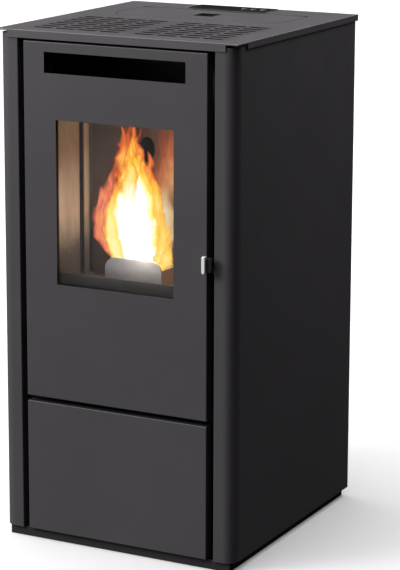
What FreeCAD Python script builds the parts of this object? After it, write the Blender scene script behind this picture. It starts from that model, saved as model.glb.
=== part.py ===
import FreeCAD, Part
import Sketcher
import math
import os
from FreeCAD import Vector, Rotation, Placement

# Pellet stove, free standing. Millimetres, +Z up. The origin is on the floor under the
# middle of the casing, the fire door faces -Y and +X is to the right seen from the front.

doc = FreeCAD.newDocument("PelletStove")
sheet = doc.addObject("Spreadsheet::Sheet", "Dims")

TABLE = [
    # casing
    ("case_w", 450, "width over the top cover"),
    ("case_d", 470, "depth over the top cover"),
    ("case_h", 880, "height of the top cover's upper face"),
    ("sheet_t", 2, "casing sheet thickness"),
    ("cover_t", 2.5, "top cover thickness"),
    ("lip_front", 13.5, "top cover front lip, plate included"),
    ("lip_side", 11, "top cover side and rear lips, plate included"),
    ("lip_end", 203, "half length of the front lip"),
    ("lip_start", 37, "side lip starts this far behind the front edge"),
    ("plinth_h", 16, "plinth height"),
    ("plinth_in", 10, "plinth set back from the side panels"),
    ("panel_x", 222, "outer face of a side panel from the middle"),
    ("panel_y0", -233, "front face of a side panel's strip"),
    ("panel_y1", 232, "rear face of a side panel's flange"),
    ("panel_z1", 873, "top edge of the side panels"),
    ("strip_x", 183.5, "inner edge of a side panel's front strip"),
    ("corner_r", 21, "outer bend radius of a side panel"),
    ("flange_x", 197, "inner edge of a side panel's rear flange"),
    # fronts
    ("front_y", -235, "front face of the door and the drawer front"),
    ("door_hw", 171.5, "half width of the door and the drawer front"),
    ("door_z0", 255.5, "door bottom edge"),
    ("door_z1", 862.5, "door top edge"),
    ("door_deep", 20, "depth of the door panel's returned edges"),
    ("win_hw", 110.5, "half width of the window"),
    ("win_z0", 455, "window bottom"),
    ("win_z1", 734, "window top"),
    ("vent_hw", 132, "half width of the warm-air slot"),
    ("vent_z0", 811, "warm-air slot bottom"),
    ("vent_z1", 846, "warm-air slot top"),
    ("low_z0", 17, "drawer front bottom edge"),
    ("low_z1", 246.5, "drawer front top edge"),
    ("edge_r", 1.4, "bend radius on the fronts' outer edges"),
    ("frame_y", -203, "front face of the front frame"),
    ("frame_t", 3, "front frame thickness"),
    ("glass_t", 4, "door glass thickness"),
    ("hinge_x", -165, "door hinge axis, across"),
    ("hinge_y", -226, "door hinge axis, fore and aft"),
    ("latch_y", -220, "latch pivot, fore and aft"),
    ("latch_z", 519, "latch pivot height"),
    ("grip_x", 169, "left side of the latch grip"),
    ("grip_w", 6.4, "width of the latch grip"),
    ("grip_y", -250.5, "front face of the latch grip"),
    ("grip_z", 521, "middle of the latch grip"),
    ("grip_h", 29, "height of the latch grip"),
    # firebox
    ("fire_hw", 136, "half width inside the firebox"),
    ("fire_y1", -81, "front face of the firebox back wall"),
    ("fire_z0", 440, "underside of the firebox floor"),
    ("fire_z1", 775, "top of the firebox walls"),
    ("wall_t", 4, "firebox plate thickness"),
    ("lip_z", 468, "top of the ash lip at the firebox mouth"),
    ("chute_z", 675, "pellet chute height at the back wall"),
    ("chute_r", 14.5, "pellet chute outer radius"),
    ("pot_hw", 46, "half width of the burn pot cup"),
    ("apron_hw", 54, "half width of the burn pot's front plate"),
    ("apron_z1", 497, "top of the burn pot's front plate"),
    # feed
    ("lid_hw", 161.5, "half width of the hopper lid"),
    ("lid_y0", 35.5, "front edge of the hopper lid"),
    ("lid_y1", 157.5, "rear edge of the hopper lid"),
    ("lid_r", 34, "front corner radius of the hopper lid"),
    ("lid_axis_y", 161.5, "lid hinge axis, fore and aft"),
    ("lid_axis_z", 877, "lid hinge axis height"),
    ("hop_hw", 155, "half width of the hopper"),
    ("hop_y0", 36, "front of the hopper"),
    ("hop_y1", 157, "rear of the hopper"),
    ("hop_z", 640, "where the hopper starts to narrow"),
    ("feed_x", -18, "auger and pellet chute axis, across"),
    ("auger_y", 140, "auger axis foot, fore and aft"),
    ("auger_z", 392, "auger axis foot height"),
    ("auger_r", 23.5, "auger flight radius"),
    ("auger_pitch", 45, "auger flight pitch"),
    ("shaft_r", 8, "auger shaft radius"),
    ("tube_r", 27, "auger tube outer radius"),
    # air and smoke
    ("flue_x", 55, "flue axis, across"),
    ("flue_z", 150, "flue axis height"),
    ("flue_r", 40, "flue spigot outer radius"),
    ("flue_y1", 285, "free end of the flue spigot"),
    ("air_x", 85, "combustion air pipe axis, across"),
    ("air_z", 413, "combustion air pipe axis height"),
    ("air_r", 25, "combustion air pipe outer radius"),
    ("air_y1", 272, "free end of the combustion air pipe"),
    ("smoke_x", -82, "smoke fan axis, across"),
    ("smoke_z", 190, "smoke fan axis height"),
    ("smoke_r", 75, "smoke fan housing outer radius"),
    ("room_y", 150, "room fan axis, fore and aft"),
    ("room_z", 120, "room fan axis height"),
    ("room_r", 62, "room fan housing outer radius"),
    # controls
    ("ctl_hw", 76, "half width of the control panel"),
    ("ctl_y0", 171.5, "front edge of the control panel"),
    ("ctl_y1", 220.5, "rear edge of the control panel"),
    ("ctl_t", 2.5, "control panel thickness above the cover"),
    ("btn_r", 4.5, "button radius"),
]
for row, (alias, value, note) in enumerate(TABLE, 1):
    sheet.set("A%d" % row, note)
    sheet.set("B%d" % row, "%g" % value)
    sheet.setAlias("B%d" % row, alias)
doc.recompute()


class Dim(object):
    """A length with its value and the sheet formula it comes from."""

    def __init__(self, v, e=None):
        self.v = float(v)
        self.e = e

    def text(self):
        return self.e if self.e else "(%r)" % self.v

    def _op(self, other, sign, value):
        other = as_dim(other)
        e = None
        if self.e or other.e:
            e = "(%s %s %s)" % (self.text(), sign, other.text())
        return Dim(value(self.v, other.v), e)

    def __add__(self, o):
        return self._op(o, "+", lambda a, b: a + b)

    def __radd__(self, o):
        return as_dim(o) + self

    def __sub__(self, o):
        return self._op(o, "-", lambda a, b: a - b)

    def __rsub__(self, o):
        return as_dim(o) - self

    def __mul__(self, o):
        return self._op(o, "*", lambda a, b: a * b)

    def __rmul__(self, o):
        return as_dim(o) * self

    def __truediv__(self, o):
        return self._op(o, "/", lambda a, b: a / b)

    def __neg__(self):
        return as_dim(0) - self


def as_dim(q):
    return q if isinstance(q, Dim) else Dim(q)


class Sizes(object):
    pass


g = Sizes()
for alias, value, note in TABLE:
    setattr(g, alias, Dim(sheet.get(alias), "Dims." + alias))

NODES = []


def bind(obj, prop, q):
    q = as_dim(q)
    if q.e:
        obj.setExpression(prop, q.e)


def put(obj, x, y, z, rot=None):
    x, y, z = as_dim(x), as_dim(y), as_dim(z)
    obj.Placement = Placement(Vector(x.v, y.v, z.v), rot or Rotation())
    bind(obj, "Placement.Base.x", x)
    bind(obj, "Placement.Base.y", y)
    bind(obj, "Placement.Base.z", z)
    return obj


def node(obj, label):
    obj.Label = label
    NODES.append((label, obj))
    return obj


def box(name, x, y, z):
    o = doc.addObject("Part::Box", name)
    for prop, (a, b) in zip(("Length", "Width", "Height"), (x, y, z)):
        q = as_dim(b) - as_dim(a)
        setattr(o, prop, q.v)
        bind(o, prop, q)
    return put(o, x[0], y[0], z[0])


TURN = {
    "x": Rotation(Vector(0, 1, 0), 90),
    "y": Rotation(Vector(1, 0, 0), -90),
    "z": Rotation(),
}


def cyl(name, axis, at, length, r):
    o = doc.addObject("Part::Cylinder", name)
    length, r = as_dim(length), as_dim(r)
    o.Radius = r.v
    o.Height = length.v
    bind(o, "Radius", r)
    bind(o, "Height", length)
    return put(o, at[0], at[1], at[2], TURN[axis])


def fuse(name, parts):
    o = doc.addObject("Part::MultiFuse", name)
    o.Shapes = parts
    o.Refine = True
    return o


def group(name, parts):
    o = doc.addObject("Part::Compound", name)
    o.Links = parts
    return o


def cut(name, base, tools, apart=True):
    """base without the tools. apart: the tools don't touch one another."""
    tool = tools[0]
    if len(tools) > 1:
        tool = group(name + "_tools", tools) if apart else fuse(name + "_tools", tools)
    o = doc.addObject("Part::Cut", name)
    o.Base = base
    o.Tool = tool
    o.Refine = True
    return o


def body(name):
    return doc.addObject("PartDesign::Body", name)


def sketch(b, name, role, offset=0):
    s = b.newObject("Sketcher::SketchObject", name)
    plane = [f for f in b.Origin.OriginFeatures if f.Role == role][0]
    s.AttachmentSupport = [(plane, "")]
    s.MapMode = "FlatFace"
    off = as_dim(offset)
    s.AttachmentOffset = Placement(Vector(0, 0, off.v), Rotation())
    bind(s, "AttachmentOffset.Base.z", off)
    return s


def pin_point(s, geo, pos, u, v):
    for kind, axis, q in (("DistanceX", -2, as_dim(u)), ("DistanceY", -1, as_dim(v))):
        if abs(q.v) < 1e-9:
            s.addConstraint(Sketcher.Constraint("PointOnObject", geo, pos, axis))
        else:
            k = s.addConstraint(Sketcher.Constraint(kind, -1, 1, geo, pos, q.v))
            bind(s, "Constraints[%d]" % k, q)


def polygon(s, pts):
    pts = [(as_dim(a), as_dim(b)) for a, b in pts]
    n = len(pts)
    first = s.GeometryCount
    for i in range(n):
        a, b = pts[i], pts[(i + 1) % n]
        s.addGeometry(
            Part.LineSegment(Vector(a[0].v, a[1].v, 0), Vector(b[0].v, b[1].v, 0)), False
        )
    for i in range(n):
        s.addConstraint(Sketcher.Constraint("Coincident", first + i, 2, first + (i + 1) % n, 1))
    for i, (a, b) in enumerate(pts):
        pin_point(s, first + i, 1, a, b)


def rect(s, u0, u1, v0, v1):
    polygon(s, [(u0, v0), (u1, v0), (u1, v1), (u0, v1)])


def circle(s, u, v, r):
    u, v, r = as_dim(u), as_dim(v), as_dim(r)
    k = s.addGeometry(Part.Circle(Vector(u.v, v.v, 0), Vector(0, 0, 1), r.v), False)
    c = s.addConstraint(Sketcher.Constraint("Radius", k, r.v))
    bind(s, "Constraints[%d]" % c, r)
    pin_point(s, k, 3, u, v)


def slot(s, u0, u1, v, r):
    """Round-ended slot from u0 to u1 over all, centred on v."""
    a, b = u0 + r, u1 - r
    k = s.GeometryCount
    z = Vector(0, 0, 1)
    s.addGeometry(
        Part.ArcOfCircle(Part.Circle(Vector(a, v, 0), z, r), math.pi / 2, 3 * math.pi / 2), False
    )
    s.addGeometry(Part.LineSegment(Vector(a, v - r, 0), Vector(b, v - r, 0)), False)
    s.addGeometry(
        Part.ArcOfCircle(Part.Circle(Vector(b, v, 0), z, r), -math.pi / 2, math.pi / 2), False
    )
    s.addGeometry(Part.LineSegment(Vector(b, v + r, 0), Vector(a, v + r, 0)), False)
    s.addConstraint(Sketcher.Constraint("Tangent", k, 2, k + 1, 1))
    s.addConstraint(Sketcher.Constraint("Tangent", k + 1, 2, k + 2, 1))
    s.addConstraint(Sketcher.Constraint("Tangent", k + 2, 2, k + 3, 1))
    s.addConstraint(Sketcher.Constraint("Tangent", k + 3, 2, k, 1))
    s.addConstraint(Sketcher.Constraint("Radius", k, r))
    pin_point(s, k, 3, a, v)
    pin_point(s, k + 2, 3, b, v)


def pad(b, s, length, back=False):
    p = b.newObject("PartDesign::Pad", s.Name + "_pad")
    length = as_dim(length)
    p.Profile = s
    p.Length = length.v
    bind(p, "Length", length)
    p.Reversed = back
    b.Tip = p
    doc.recompute()
    return p


def pocket(b, s, length=None):
    """Cuts the sketch through everything, or to a depth on the side where the solid is."""
    before = b.Shape.Volume
    p = b.newObject("PartDesign::Pocket", s.Name + "_pocket")
    p.Profile = s
    if length is None:
        p.Type = "ThroughAll"
        p.SideType = "Symmetric"
    else:
        length = as_dim(length)
        p.Length = length.v
        bind(p, "Length", length)
    b.Tip = p
    doc.recompute()
    if b.Shape.Volume > before - 1e-6:
        p.Reversed = True
        doc.recompute()
    if b.Shape.Volume > before - 1e-6:
        raise RuntimeError("%s cuts nothing" % p.Name)
    return p


def revolve(b, s, axis="V_Axis"):
    r = b.newObject("PartDesign::Revolution", s.Name + "_rev")
    r.Profile = s
    r.ReferenceAxis = (s, [axis])
    r.Angle = 360
    b.Tip = r
    doc.recompute()
    return r


def edges_where(feature, test):
    return ["Edge%d" % i for i, e in enumerate(feature.Shape.Edges, 1) if test(e)]


def fillet(b, base, test, radius, name):
    names = edges_where(base, test)
    if not names:
        raise RuntimeError("%s finds no edge" % name)
    f = b.newObject("PartDesign::Fillet", name)
    f.Base = (base, names)
    radius = as_dim(radius)
    f.Radius = radius.v
    bind(f, "Radius", radius)
    b.Tip = f
    doc.recompute()
    return f


def upright_at(x, y):
    def test(e):
        c = e.BoundBox
        return (
            c.ZLength > 1
            and c.XLength < 1e-4
            and c.YLength < 1e-4
            and abs(c.XMin - x) < 1e-3
            and abs(c.YMin - y) < 1e-3
        )

    return test


# ---------------------------------------------------------------- casing

# Plinth: a tray whose bottom rests on the floor, with the deck that carries the casing.
plinth_x = g.panel_x - g.plinth_in
skirt = cut(
    "plinth_skirt",
    box("plinth_outer", (-plinth_x, plinth_x), (-228, 226), (0, g.plinth_h)),
    [box("plinth_inner", (3 - plinth_x, plinth_x - 3), (-225, 223), (3, g.plinth_h + 1))],
)
deck_z = g.plinth_h + g.sheet_t
deck = cut(
    "deck_plate",
    box(
        "deck_blank",
        (g.sheet_t - g.panel_x, g.panel_x - g.sheet_t),
        (g.frame_y, 228),
        (g.plinth_h, deck_z),
    ),
    [box("deck_hole", (-30, 30), (-30, 30), (g.plinth_h - 1, deck_z + 1))],
)
node(fuse("plinth_weld", [skirt, deck]), "plinth_base")

# Rear screws: five down each side, through the side panel flange and the rear panel.
SCREW_X = 209
SCREW_Z = (70, 260, 460, 660, 830)


def screw_holes(tag, sides):
    return [
        cyl("%s_hole_%d_%d" % (tag, i, z), "y", (sx * SCREW_X, 220, z), 20, 2.1)
        for i, sx in enumerate(sides)
        for z in SCREW_Z
    ]


def side_panel(label, sx):
    b = body(label + "_fold")
    s = sketch(b, label + "_profile", "XY_Plane", g.plinth_h)
    t = g.sheet_t
    ox, ix = g.panel_x, g.panel_x - t
    pts = [
        (ox, g.panel_y1),
        (ox, g.panel_y0),
        (g.strip_x, g.panel_y0),
        (g.strip_x, g.frame_y),
        (g.strip_x + t, g.frame_y),
        (g.strip_x + t, g.panel_y0 + t),
        (ix, g.panel_y0 + t),
        (ix, g.panel_y1 - t),
        (g.flange_x, g.panel_y1 - t),
        (g.flange_x, g.panel_y1),
    ]
    polygon(s, [(sx * as_dim(u), v) for u, v in pts])
    p = pad(b, s, g.panel_z1 - g.plinth_h)
    f = fillet(
        b, p, upright_at(sx * g.panel_x.v, g.panel_y0.v), g.corner_r, label + "_bend"
    )
    f = fillet(
        b,
        f,
        upright_at(sx * (g.panel_x.v - t.v), g.panel_y0.v + t.v),
        g.corner_r - t,
        label + "_bend_in",
    )
    f = fillet(b, f, upright_at(sx * g.panel_x.v, g.panel_y1.v), 3, label + "_rear_bend")
    f = fillet(b, f, upright_at(sx * g.strip_x.v, g.panel_y0.v), 1.6, label + "_front_bend")
    node(cut(label + "_drilled", b, screw_holes(label, (sx,))), label)


side_panel("left_side_panel", -1)
side_panel("right_side_panel", 1)

# Front frame: flat bars welded edge to edge round the firebox mouth, the warm-air mouth and
# the drawer opening.
fy0, fy1 = g.frame_y, g.frame_y + g.frame_t
top_under = g.case_h - g.cover_t
mouth_z0, mouth_z1 = g.fire_z0 + g.wall_t, g.fire_z1 - g.wall_t
stile = 158
frame_bars = [
    ("stile_l", (-200, -stile), (deck_z, top_under)),
    ("stile_r", (stile, 200), (deck_z, top_under)),
    ("rail_foot", (-stile, stile), (deck_z, 24)),
    ("rail_mid", (-stile, stile), (240, mouth_z0)),
    ("cheek_l", (-stile, -g.fire_hw), (mouth_z0, mouth_z1)),
    ("cheek_r", (g.fire_hw, stile), (mouth_z0, mouth_z1)),
    ("rail_over", (-stile, stile), (mouth_z1, 802)),
    ("air_cheek_l", (-stile, -134), (802, 856)),
    ("air_cheek_r", (134, stile), (802, 856)),
    ("rail_top", (-stile, stile), (856, top_under)),
]
node(
    group("frame_weld", [box("frame_" + n, x, (fy0, fy1), z) for n, x, z in frame_bars]),
    "front_frame",
)

# Rear panel, inside the side panels' flanges.
rear_tools = [
    cyl("flue_hole", "y", (g.flue_x, 220, g.flue_z), 20, g.flue_r + 1.5),
    cyl("air_hole", "y", (g.air_x, 220, g.air_z), 20, g.air_r + 1),
    box("inlet_hole", (-184, -136), (220, 240), (236, 264)),
    box("rocker_hole", (-126.5, -105.5), (220, 240), (236, 264)),
]
for i in range(9):
    z = 74 + 11 * i
    rear_tools.append(box("fan_slot_%d" % i, (-178, -82), (220, 240), (z, z + 5)))
for k, x0 in enumerate((-150, 30)):
    for i in range(6):
        z = 560 + 12 * i
        rear_tools.append(box("rear_slot_%d_%d" % (k, i), (x0, x0 + 120), (220, 240), (z, z + 5)))
node(
    cut(
        "rear_panel_cut",
        box("rear_panel_blank", (-218, 218), (228, 230), (deck_z, top_under)),
        rear_tools + screw_holes("rear", (-1, 1)),
    ),
    "rear_panel",
)
screws = []
for i, sx in enumerate((-1, 1)):
    for z in SCREW_Z:
        n = "rear_screw_%d_%d" % (i, z)
        head = cyl(n + "_head", "y", (sx * SCREW_X, g.panel_y1, z), 2.6, 4.6)
        shank = cyl(n + "_shank", "y", (sx * SCREW_X, g.panel_y1 - 9, z), 9.2, 2)
        screws.append(fuse(n, [head, shank]))
node(group("rear_screw_set", screws), "rear_panel_screws")

# Top cover: plate with folded lips, the slotted grille, the lid opening and the panel opening.
half_w, half_d = g.case_w / 2, g.case_d / 2
cover = body("top_cover_fold")
s = sketch(cover, "cover_plate", "XY_Plane", top_under)
rect(s, -half_w, half_w, -half_d, half_d)
pad(cover, s, g.cover_t)
s = sketch(cover, "cover_front_lip", "XY_Plane", g.case_h - g.lip_front)
rect(s, -g.lip_end, g.lip_end, -half_d, g.sheet_t - half_d)
pad(cover, s, g.lip_front - g.cover_t)
s = sketch(cover, "cover_rear_lip", "XY_Plane", g.case_h - g.lip_side)
polygon(
    s,
    [
        (-half_w, g.lip_start - half_d),
        (g.cover_t - half_w, g.lip_start - half_d),
        (g.cover_t - half_w, half_d - g.cover_t),
        (half_w - g.cover_t, half_d - g.cover_t),
        (half_w - g.cover_t, g.lip_start - half_d),
        (half_w, g.lip_start - half_d),
        (half_w, half_d),
        (-half_w, half_d),
    ],
)
pad(cover, s, g.lip_side - g.cover_t)
s = sketch(cover, "cover_lid_opening", "XY_Plane", g.case_h)
rect(s, -g.lid_hw - 1.5, g.lid_hw + 1.5, g.lid_y0 - 1.5, g.lid_axis_y + 4)
f = pocket(cover, s)
lx, ly = g.lid_hw.v + 1.5, g.lid_y0.v - 1.5
f = fillet(
    cover,
    f,
    lambda e: upright_at(lx, ly)(e) or upright_at(-lx, ly)(e),
    g.lid_r + 1.5,
    "cover_lid_corners",
)
s = sketch(cover, "cover_panel_opening", "XY_Plane", g.case_h)
rect(s, 5.5 - g.ctl_hw, g.ctl_hw - 5.5, g.ctl_y0 + 4, g.ctl_y1 - 4)
pocket(cover, s)
s = sketch(cover, "cover_slots", "XY_Plane", g.case_h)
for u0 in (-177.0, -135.0, -93.0, -51.0, 14.0, 56.0, 98.0, 140.0):
    slot(s, u0, u0 + 36.0, -190.0, 5.2)
row = pocket(cover, s)
rows = cover.newObject("PartDesign::LinearPattern", "cover_slot_rows")
rows.Originals = [row]
rows.Direction = (s, ["V_Axis"])
rows.Length = 168
rows.Occurrences = 8
cover.Tip = rows
doc.recompute()
f = fillet(
    cover,
    rows,
    lambda e: (
        abs(e.BoundBox.ZMin - g.case_h.v) < 1e-3
        and e.BoundBox.ZLength < 1e-4
        and max(abs(e.BoundBox.XMin), abs(e.BoundBox.XMax)) > half_w.v - 1e-3
        and (e.BoundBox.YLength > 400)
    )
    or (
        abs(e.BoundBox.ZMin - g.case_h.v) < 1e-3
        and e.BoundBox.ZLength < 1e-4
        and e.BoundBox.XLength > 400
    ),
    1.0,
    "cover_edge",
)
node(cover, "top_cover")

# ---------------------------------------------------------------- fire door

HINGE_Z = (330, 740)


def front_panel(label, z0, z1, depth):
    b = body(label)
    s = sketch(b, label + "_face", "XZ_Plane", -g.front_y)
    rect(s, -g.door_hw, g.door_hw, z0, z1)
    p = pad(b, s, depth, back=True)
    y0 = g.front_y.v

    def outer(e):
        c = e.BoundBox
        on_front = c.YLength < 1e-4 and abs(c.YMin - y0) < 1e-3
        return on_front or c.YLength > depth.v - 1

    f = fillet(b, p, outer, g.edge_r, label + "_bends")
    s = sketch(b, label + "_hollow", "XZ_Plane", -g.front_y - depth)
    t = g.sheet_t
    rect(s, t - g.door_hw, g.door_hw - t, z0 + t, z1 - t)
    pocket(b, s, depth - t)
    return b


door = front_panel("door_skin", g.door_z0, g.door_z1, g.door_deep)
s = sketch(door, "door_window", "XZ_Plane", -g.front_y)
rect(s, -g.win_hw, g.win_hw, g.win_z0, g.win_z1)
pocket(door, s)
s = sketch(door, "door_air_slot", "XZ_Plane", -g.front_y)
rect(s, -g.vent_hw, g.vent_hw, g.vent_z0, g.vent_z1)
pocket(door, s)
door_tools = [
    cyl("pivot_hole", "x", (g.door_hw - 5, g.latch_y, g.latch_z), 10, 3.0),
]
for z in HINGE_Z:
    door_tools.append(
        box(
            "hinge_notch_%d" % z,
            (-g.door_hw - 2, g.sheet_t + 0.1 - g.door_hw),
            (g.front_y + 2.5, g.front_y + g.door_deep + 2),
            (z - 3, z + 46),
        )
    )
node(cut("door_panel_cut", door, door_tools), "door_panel")

# Inner frame: a tray behind the door panel, with the glass in front of its plate.
in_y0, in_y1 = g.front_y + g.sheet_t, g.front_y + 15
plate_y = g.front_y + 8
DOOR_SCREWS = ((-120, 320), (120, 320), (-120, 400), (120, 400), (0, 320), (0, 400))
inner = cut(
    "inner_frame_tray",
    box("inner_frame_blank", (-158, 158), (in_y0, plate_y + 4), (285, 792)),
    [box("inner_frame_hollow", (-156, 156), (in_y0 - 1, plate_y), (287, 790))],
)
win_x, win_b, win_t = g.win_hw + 1.5, g.win_z0 - 2, g.win_z1 + 2
node(
    cut(
        "inner_frame_cut",
        inner,
        [box("inner_window", (-win_x, win_x), (in_y0 - 5, in_y1 + 5), (win_b, win_t))]
        + [
            cyl("frame_hole_%d" % i, "y", (x, plate_y - 5, z), 20, 2.1)
            for i, (x, z) in enumerate(DOOR_SCREWS)
        ],
    ),
    "door_inner_frame",
)
glass_y0, glass_y1 = plate_y - g.glass_t, plate_y
gx, gz0, gz1 = g.win_hw + 9.5, g.win_z0 - 10, g.win_z1 + 10
node(box("glass_pane", (-gx, gx), (glass_y0, glass_y1), (gz0, gz1)), "door_glass")

clips = []
for i, (sx, z) in enumerate(((-1, 500), (-1, 690), (1, 500), (1, 690))):
    a, b_, c = gx - 6, gx + 1, gx + 12
    lip = (a, c) if sx > 0 else (-c, -a)
    leg = (b_, c) if sx > 0 else (-c, -b_)
    clips.append(
        fuse(
            "glass_clip_%d" % i,
            [
                box("clip_lip_%d" % i, lip, (in_y0, glass_y0), (z - 9, z + 9)),
                box("clip_leg_%d" % i, leg, (in_y0, plate_y), (z - 9, z + 9)),
            ],
        )
    )
for i, z in ((4, gz1), (5, gz0)):
    up = z.v > 600
    lip = (z - 6, z + 12) if up else (z - 12, z + 6)
    leg = (z + 1, z + 12) if up else (z - 12, z - 1)
    clips.append(
        fuse(
            "glass_clip_%d" % i,
            [
                box("clip_lip_%d" % i, (-9, 9), (in_y0, glass_y0), lip),
                box("clip_leg_%d" % i, (-9, 9), (in_y0, plate_y), leg),
            ],
        )
    )
node(group("glass_clip_set", clips), "glass_clips")

# Rope gasket on the back of the inner frame, round the firebox mouth.
rope_y0 = plate_y + 4
node(
    cut(
        "rope_ring",
        box("rope_outer", (-154, 154), (rope_y0, g.frame_y - 0.5), (424, 790)),
        [box("rope_inner", (-142, 142), (rope_y0 - 1, g.frame_y + 1), (436, 778))],
    ),
    "door_rope_gasket",
)
dscrews = []
for i, (x, z) in enumerate(DOOR_SCREWS):
    dscrews.append(
        fuse(
            "door_screw_%d" % i,
            [
                cyl("door_screw_head_%d" % i, "y", (x, rope_y0, z), 2.6, 4.2),
                cyl("door_screw_shank_%d" % i, "y", (x, plate_y - 3, z), 8, 2),
            ],
        )
    )
node(group("door_screw_set", dscrews), "door_frame_screws")

# Lift-off hinges: a bracket with a pin on the frame, and a knuckle on the door that drops on it.
brackets, knuckles = [], []
for z in HINGE_Z:
    foot = box("hinge_foot_%d" % z, (-182, -158), (g.frame_y - 3, g.frame_y), (z, z + 20))
    arm = box(
        "hinge_arm_%d" % z, (g.hinge_x - 3, g.hinge_x + 3), (g.hinge_y, g.frame_y - 2), (z, z + 20)
    )
    boss = cyl("hinge_boss_%d" % z, "z", (g.hinge_x, g.hinge_y, z), 20, 4)
    pin = cyl("hinge_pin_%d" % z, "z", (g.hinge_x, g.hinge_y, z + 19), 22, 2.4)
    brackets.append(fuse("hinge_bracket_%d" % z, [foot, arm, boss, pin]))
    barrel = cyl("knuckle_barrel_%d" % z, "z", (g.hinge_x, g.hinge_y, z + 20.4), 24, 4)
    strap = box(
        "knuckle_strap_%d" % z, (g.hinge_x, -158), (g.hinge_y - 2, g.hinge_y + 2), (z + 20.4, z + 44.4)
    )
    bore = cyl("knuckle_bore_%d" % z, "z", (g.hinge_x, g.hinge_y, z + 20), 22, 2.45)
    knuckles.append(cut("hinge_knuckle_%d" % z, fuse("knuckle_%d" % z, [barrel, strap]), [bore]))
node(group("hinge_bracket_set", brackets), "door_hinge_brackets")
node(group("hinge_knuckle_set", knuckles), "door_hinge_knuckles")

# Latch: a lever in the gap beside the door with a black head, its chrome grip, its pivot and
# the keeper.
py, pz = g.latch_y, g.latch_z


def pill(name, x0, x1, y0, depth, z0, z1, corner, edge):
    """Upright block with rounded corners and rounded front edges."""
    b = body(name)
    s = sketch(b, name + "_face", "XZ_Plane", -y0)
    rect(s, x0, x1, z0, z1)
    p = pad(b, s, depth, back=True)
    f = fillet(b, p, lambda e: e.BoundBox.YLength > depth.v - 0.1, corner, name + "_corners")

    def front(e):
        c = e.BoundBox
        return c.YLength < 1e-4 and abs(c.YMin - y0.v) < 1e-3

    fillet(b, f, front, edge, name + "_edges")
    return b


gx1, gz = g.grip_x + g.grip_w, g.grip_z
node(
    pill("grip_pill", g.grip_x, gx1, g.grip_y, as_dim(8), gz - g.grip_h / 2, gz + g.grip_h / 2, 2.9, 1.2),
    "latch_grip",
)
head_y = g.grip_y + 4
lever = fuse(
    "lever_blank",
    [
        pill("lever_head", gx1, gx1 + 11, head_y, as_dim(6.5), gz - 12.5, gz + 12.5, 5, 1.5),
        cyl("lever_boss", "x", (175.6, py, pz), 4.4, 5.5),
        box("lever_bar", (175.6, 180), (head_y + 5, py), (pz - 5, pz + 5.5)),
        box("lever_tail", (175.6, 180), (py, py + 14), (pz + 1.5, pz + 6.5)),
        box("lever_hook", (175.6, 180), (py + 11, py + 14), (pz - 1.8, pz + 6.5)),
    ],
)
node(
    cut("lever_cut", lever, [cyl("lever_bore", "x", (170, py, pz), 15, 3.05)]),
    "latch_lever",
)
pivot = body("latch_pivot")
s = sketch(pivot, "pivot_profile", "XZ_Plane")
polygon(
    s,
    [
        (0, 0),
        (5, 0),
        (5, 2),
        (3, 2),
        (3, 4),
        (4, 4),
        (4, 7.2),
        (3, 7.2),
        (3, 12.8),
        (4, 12.8),
        (4, 14.6),
        (0, 14.6),
    ],
)
revolve(pivot, s)
put(pivot, g.door_hw - 4, py, pz, TURN["x"])
node(pivot, "latch_pivot")
ky, kz = py + 6.4, pz - 5.5
node(
    fuse(
        "keeper_weld",
        [
            box("keeper_foot", (172.4, 183), (g.frame_y - 3, g.frame_y), (kz - 14.5, kz - 4.5)),
            box("keeper_cheek_l", (172.4, 174.2), (ky - 2.6, g.frame_y), (kz - 14.5, kz + 2.5)),
            box("keeper_cheek_r", (181.2, 183), (ky - 2.6, g.frame_y), (kz - 14.5, kz + 2.5)),
            cyl("keeper_bar", "x", (173, ky, kz), 9, 2.4),
        ],
    ),
    "door_keeper",
)

# ---------------------------------------------------------------- ash drawer

low = front_panel("drawer_front_skin", g.low_z0, g.low_z1, as_dim(18))
node(low, "drawer_front")
dr_y0 = g.front_y + 18
bin_y0, bin_y1 = dr_y0 + 2, as_dim(-52)
drawer = group(
    "ash_drawer_weld",
    [
        box("drawer_face", (-169, 169), (dr_y0, bin_y0), (g.low_z0 + 3, g.low_z1 - 3)),
        box("drawer_floor", (-150, 150), (bin_y0, bin_y1), (40, 42)),
        box("drawer_side_l", (-150, -148), (bin_y0, bin_y1), (42, 150)),
        box("drawer_side_r", (148, 150), (bin_y0, bin_y1), (42, 150)),
        box("drawer_rear", (-148, 148), (bin_y1 - 2, bin_y1), (42, 150)),
    ],
)
node(drawer, "ash_drawer_box")
runners = []
for tag, sx in (("l", -1), ("r", 1)):
    leg = (152, 154) if sx > 0 else (-154, -152)
    shelf = (138, 152) if sx > 0 else (-152, -138)
    runners.append(box("runner_leg_" + tag, leg, (-198, -60), (deck_z, 62)))
    runners.append(box("runner_shelf_" + tag, shelf, (-198, -60), (37.6, 39.6)))
node(group("runner_set", runners), "drawer_runners")

# ---------------------------------------------------------------- firebox

wx0, wx1 = g.fire_hw, g.fire_hw + g.wall_t
ys, ye = fy1, g.fire_y1
# Side walls: a plate each, with a vertical channel near the rear edge.
for tag, sx, label in (("l", -1, "firebox_left_wall"), ("r", 1, "firebox_right_wall")):
    def across(u0, u1, sx=sx):
        return (u0, u1) if sx > 0 else (-u1, -u0)

    z0, z1 = g.fire_z0, g.fire_z1
    node(
        cut(
            "fire_wall_cut_" + tag,
            fuse(
                "fire_wall_weld_" + tag,
                [
                    box("fire_wall_plate_" + tag, across(wx0, wx1), (ys, ye), (z0, z1)),
                    box("fire_wall_channel_" + tag, across(wx1 - 1, wx1 + 7), (-118, -97), (z0, z1)),
                ],
            ),
            [box("fire_wall_groove_" + tag, across(wx0 - 1, wx1 + 4), (-115, -100), (z0 + 4, z1 - 4))],
        ),
        label,
    )


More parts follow.
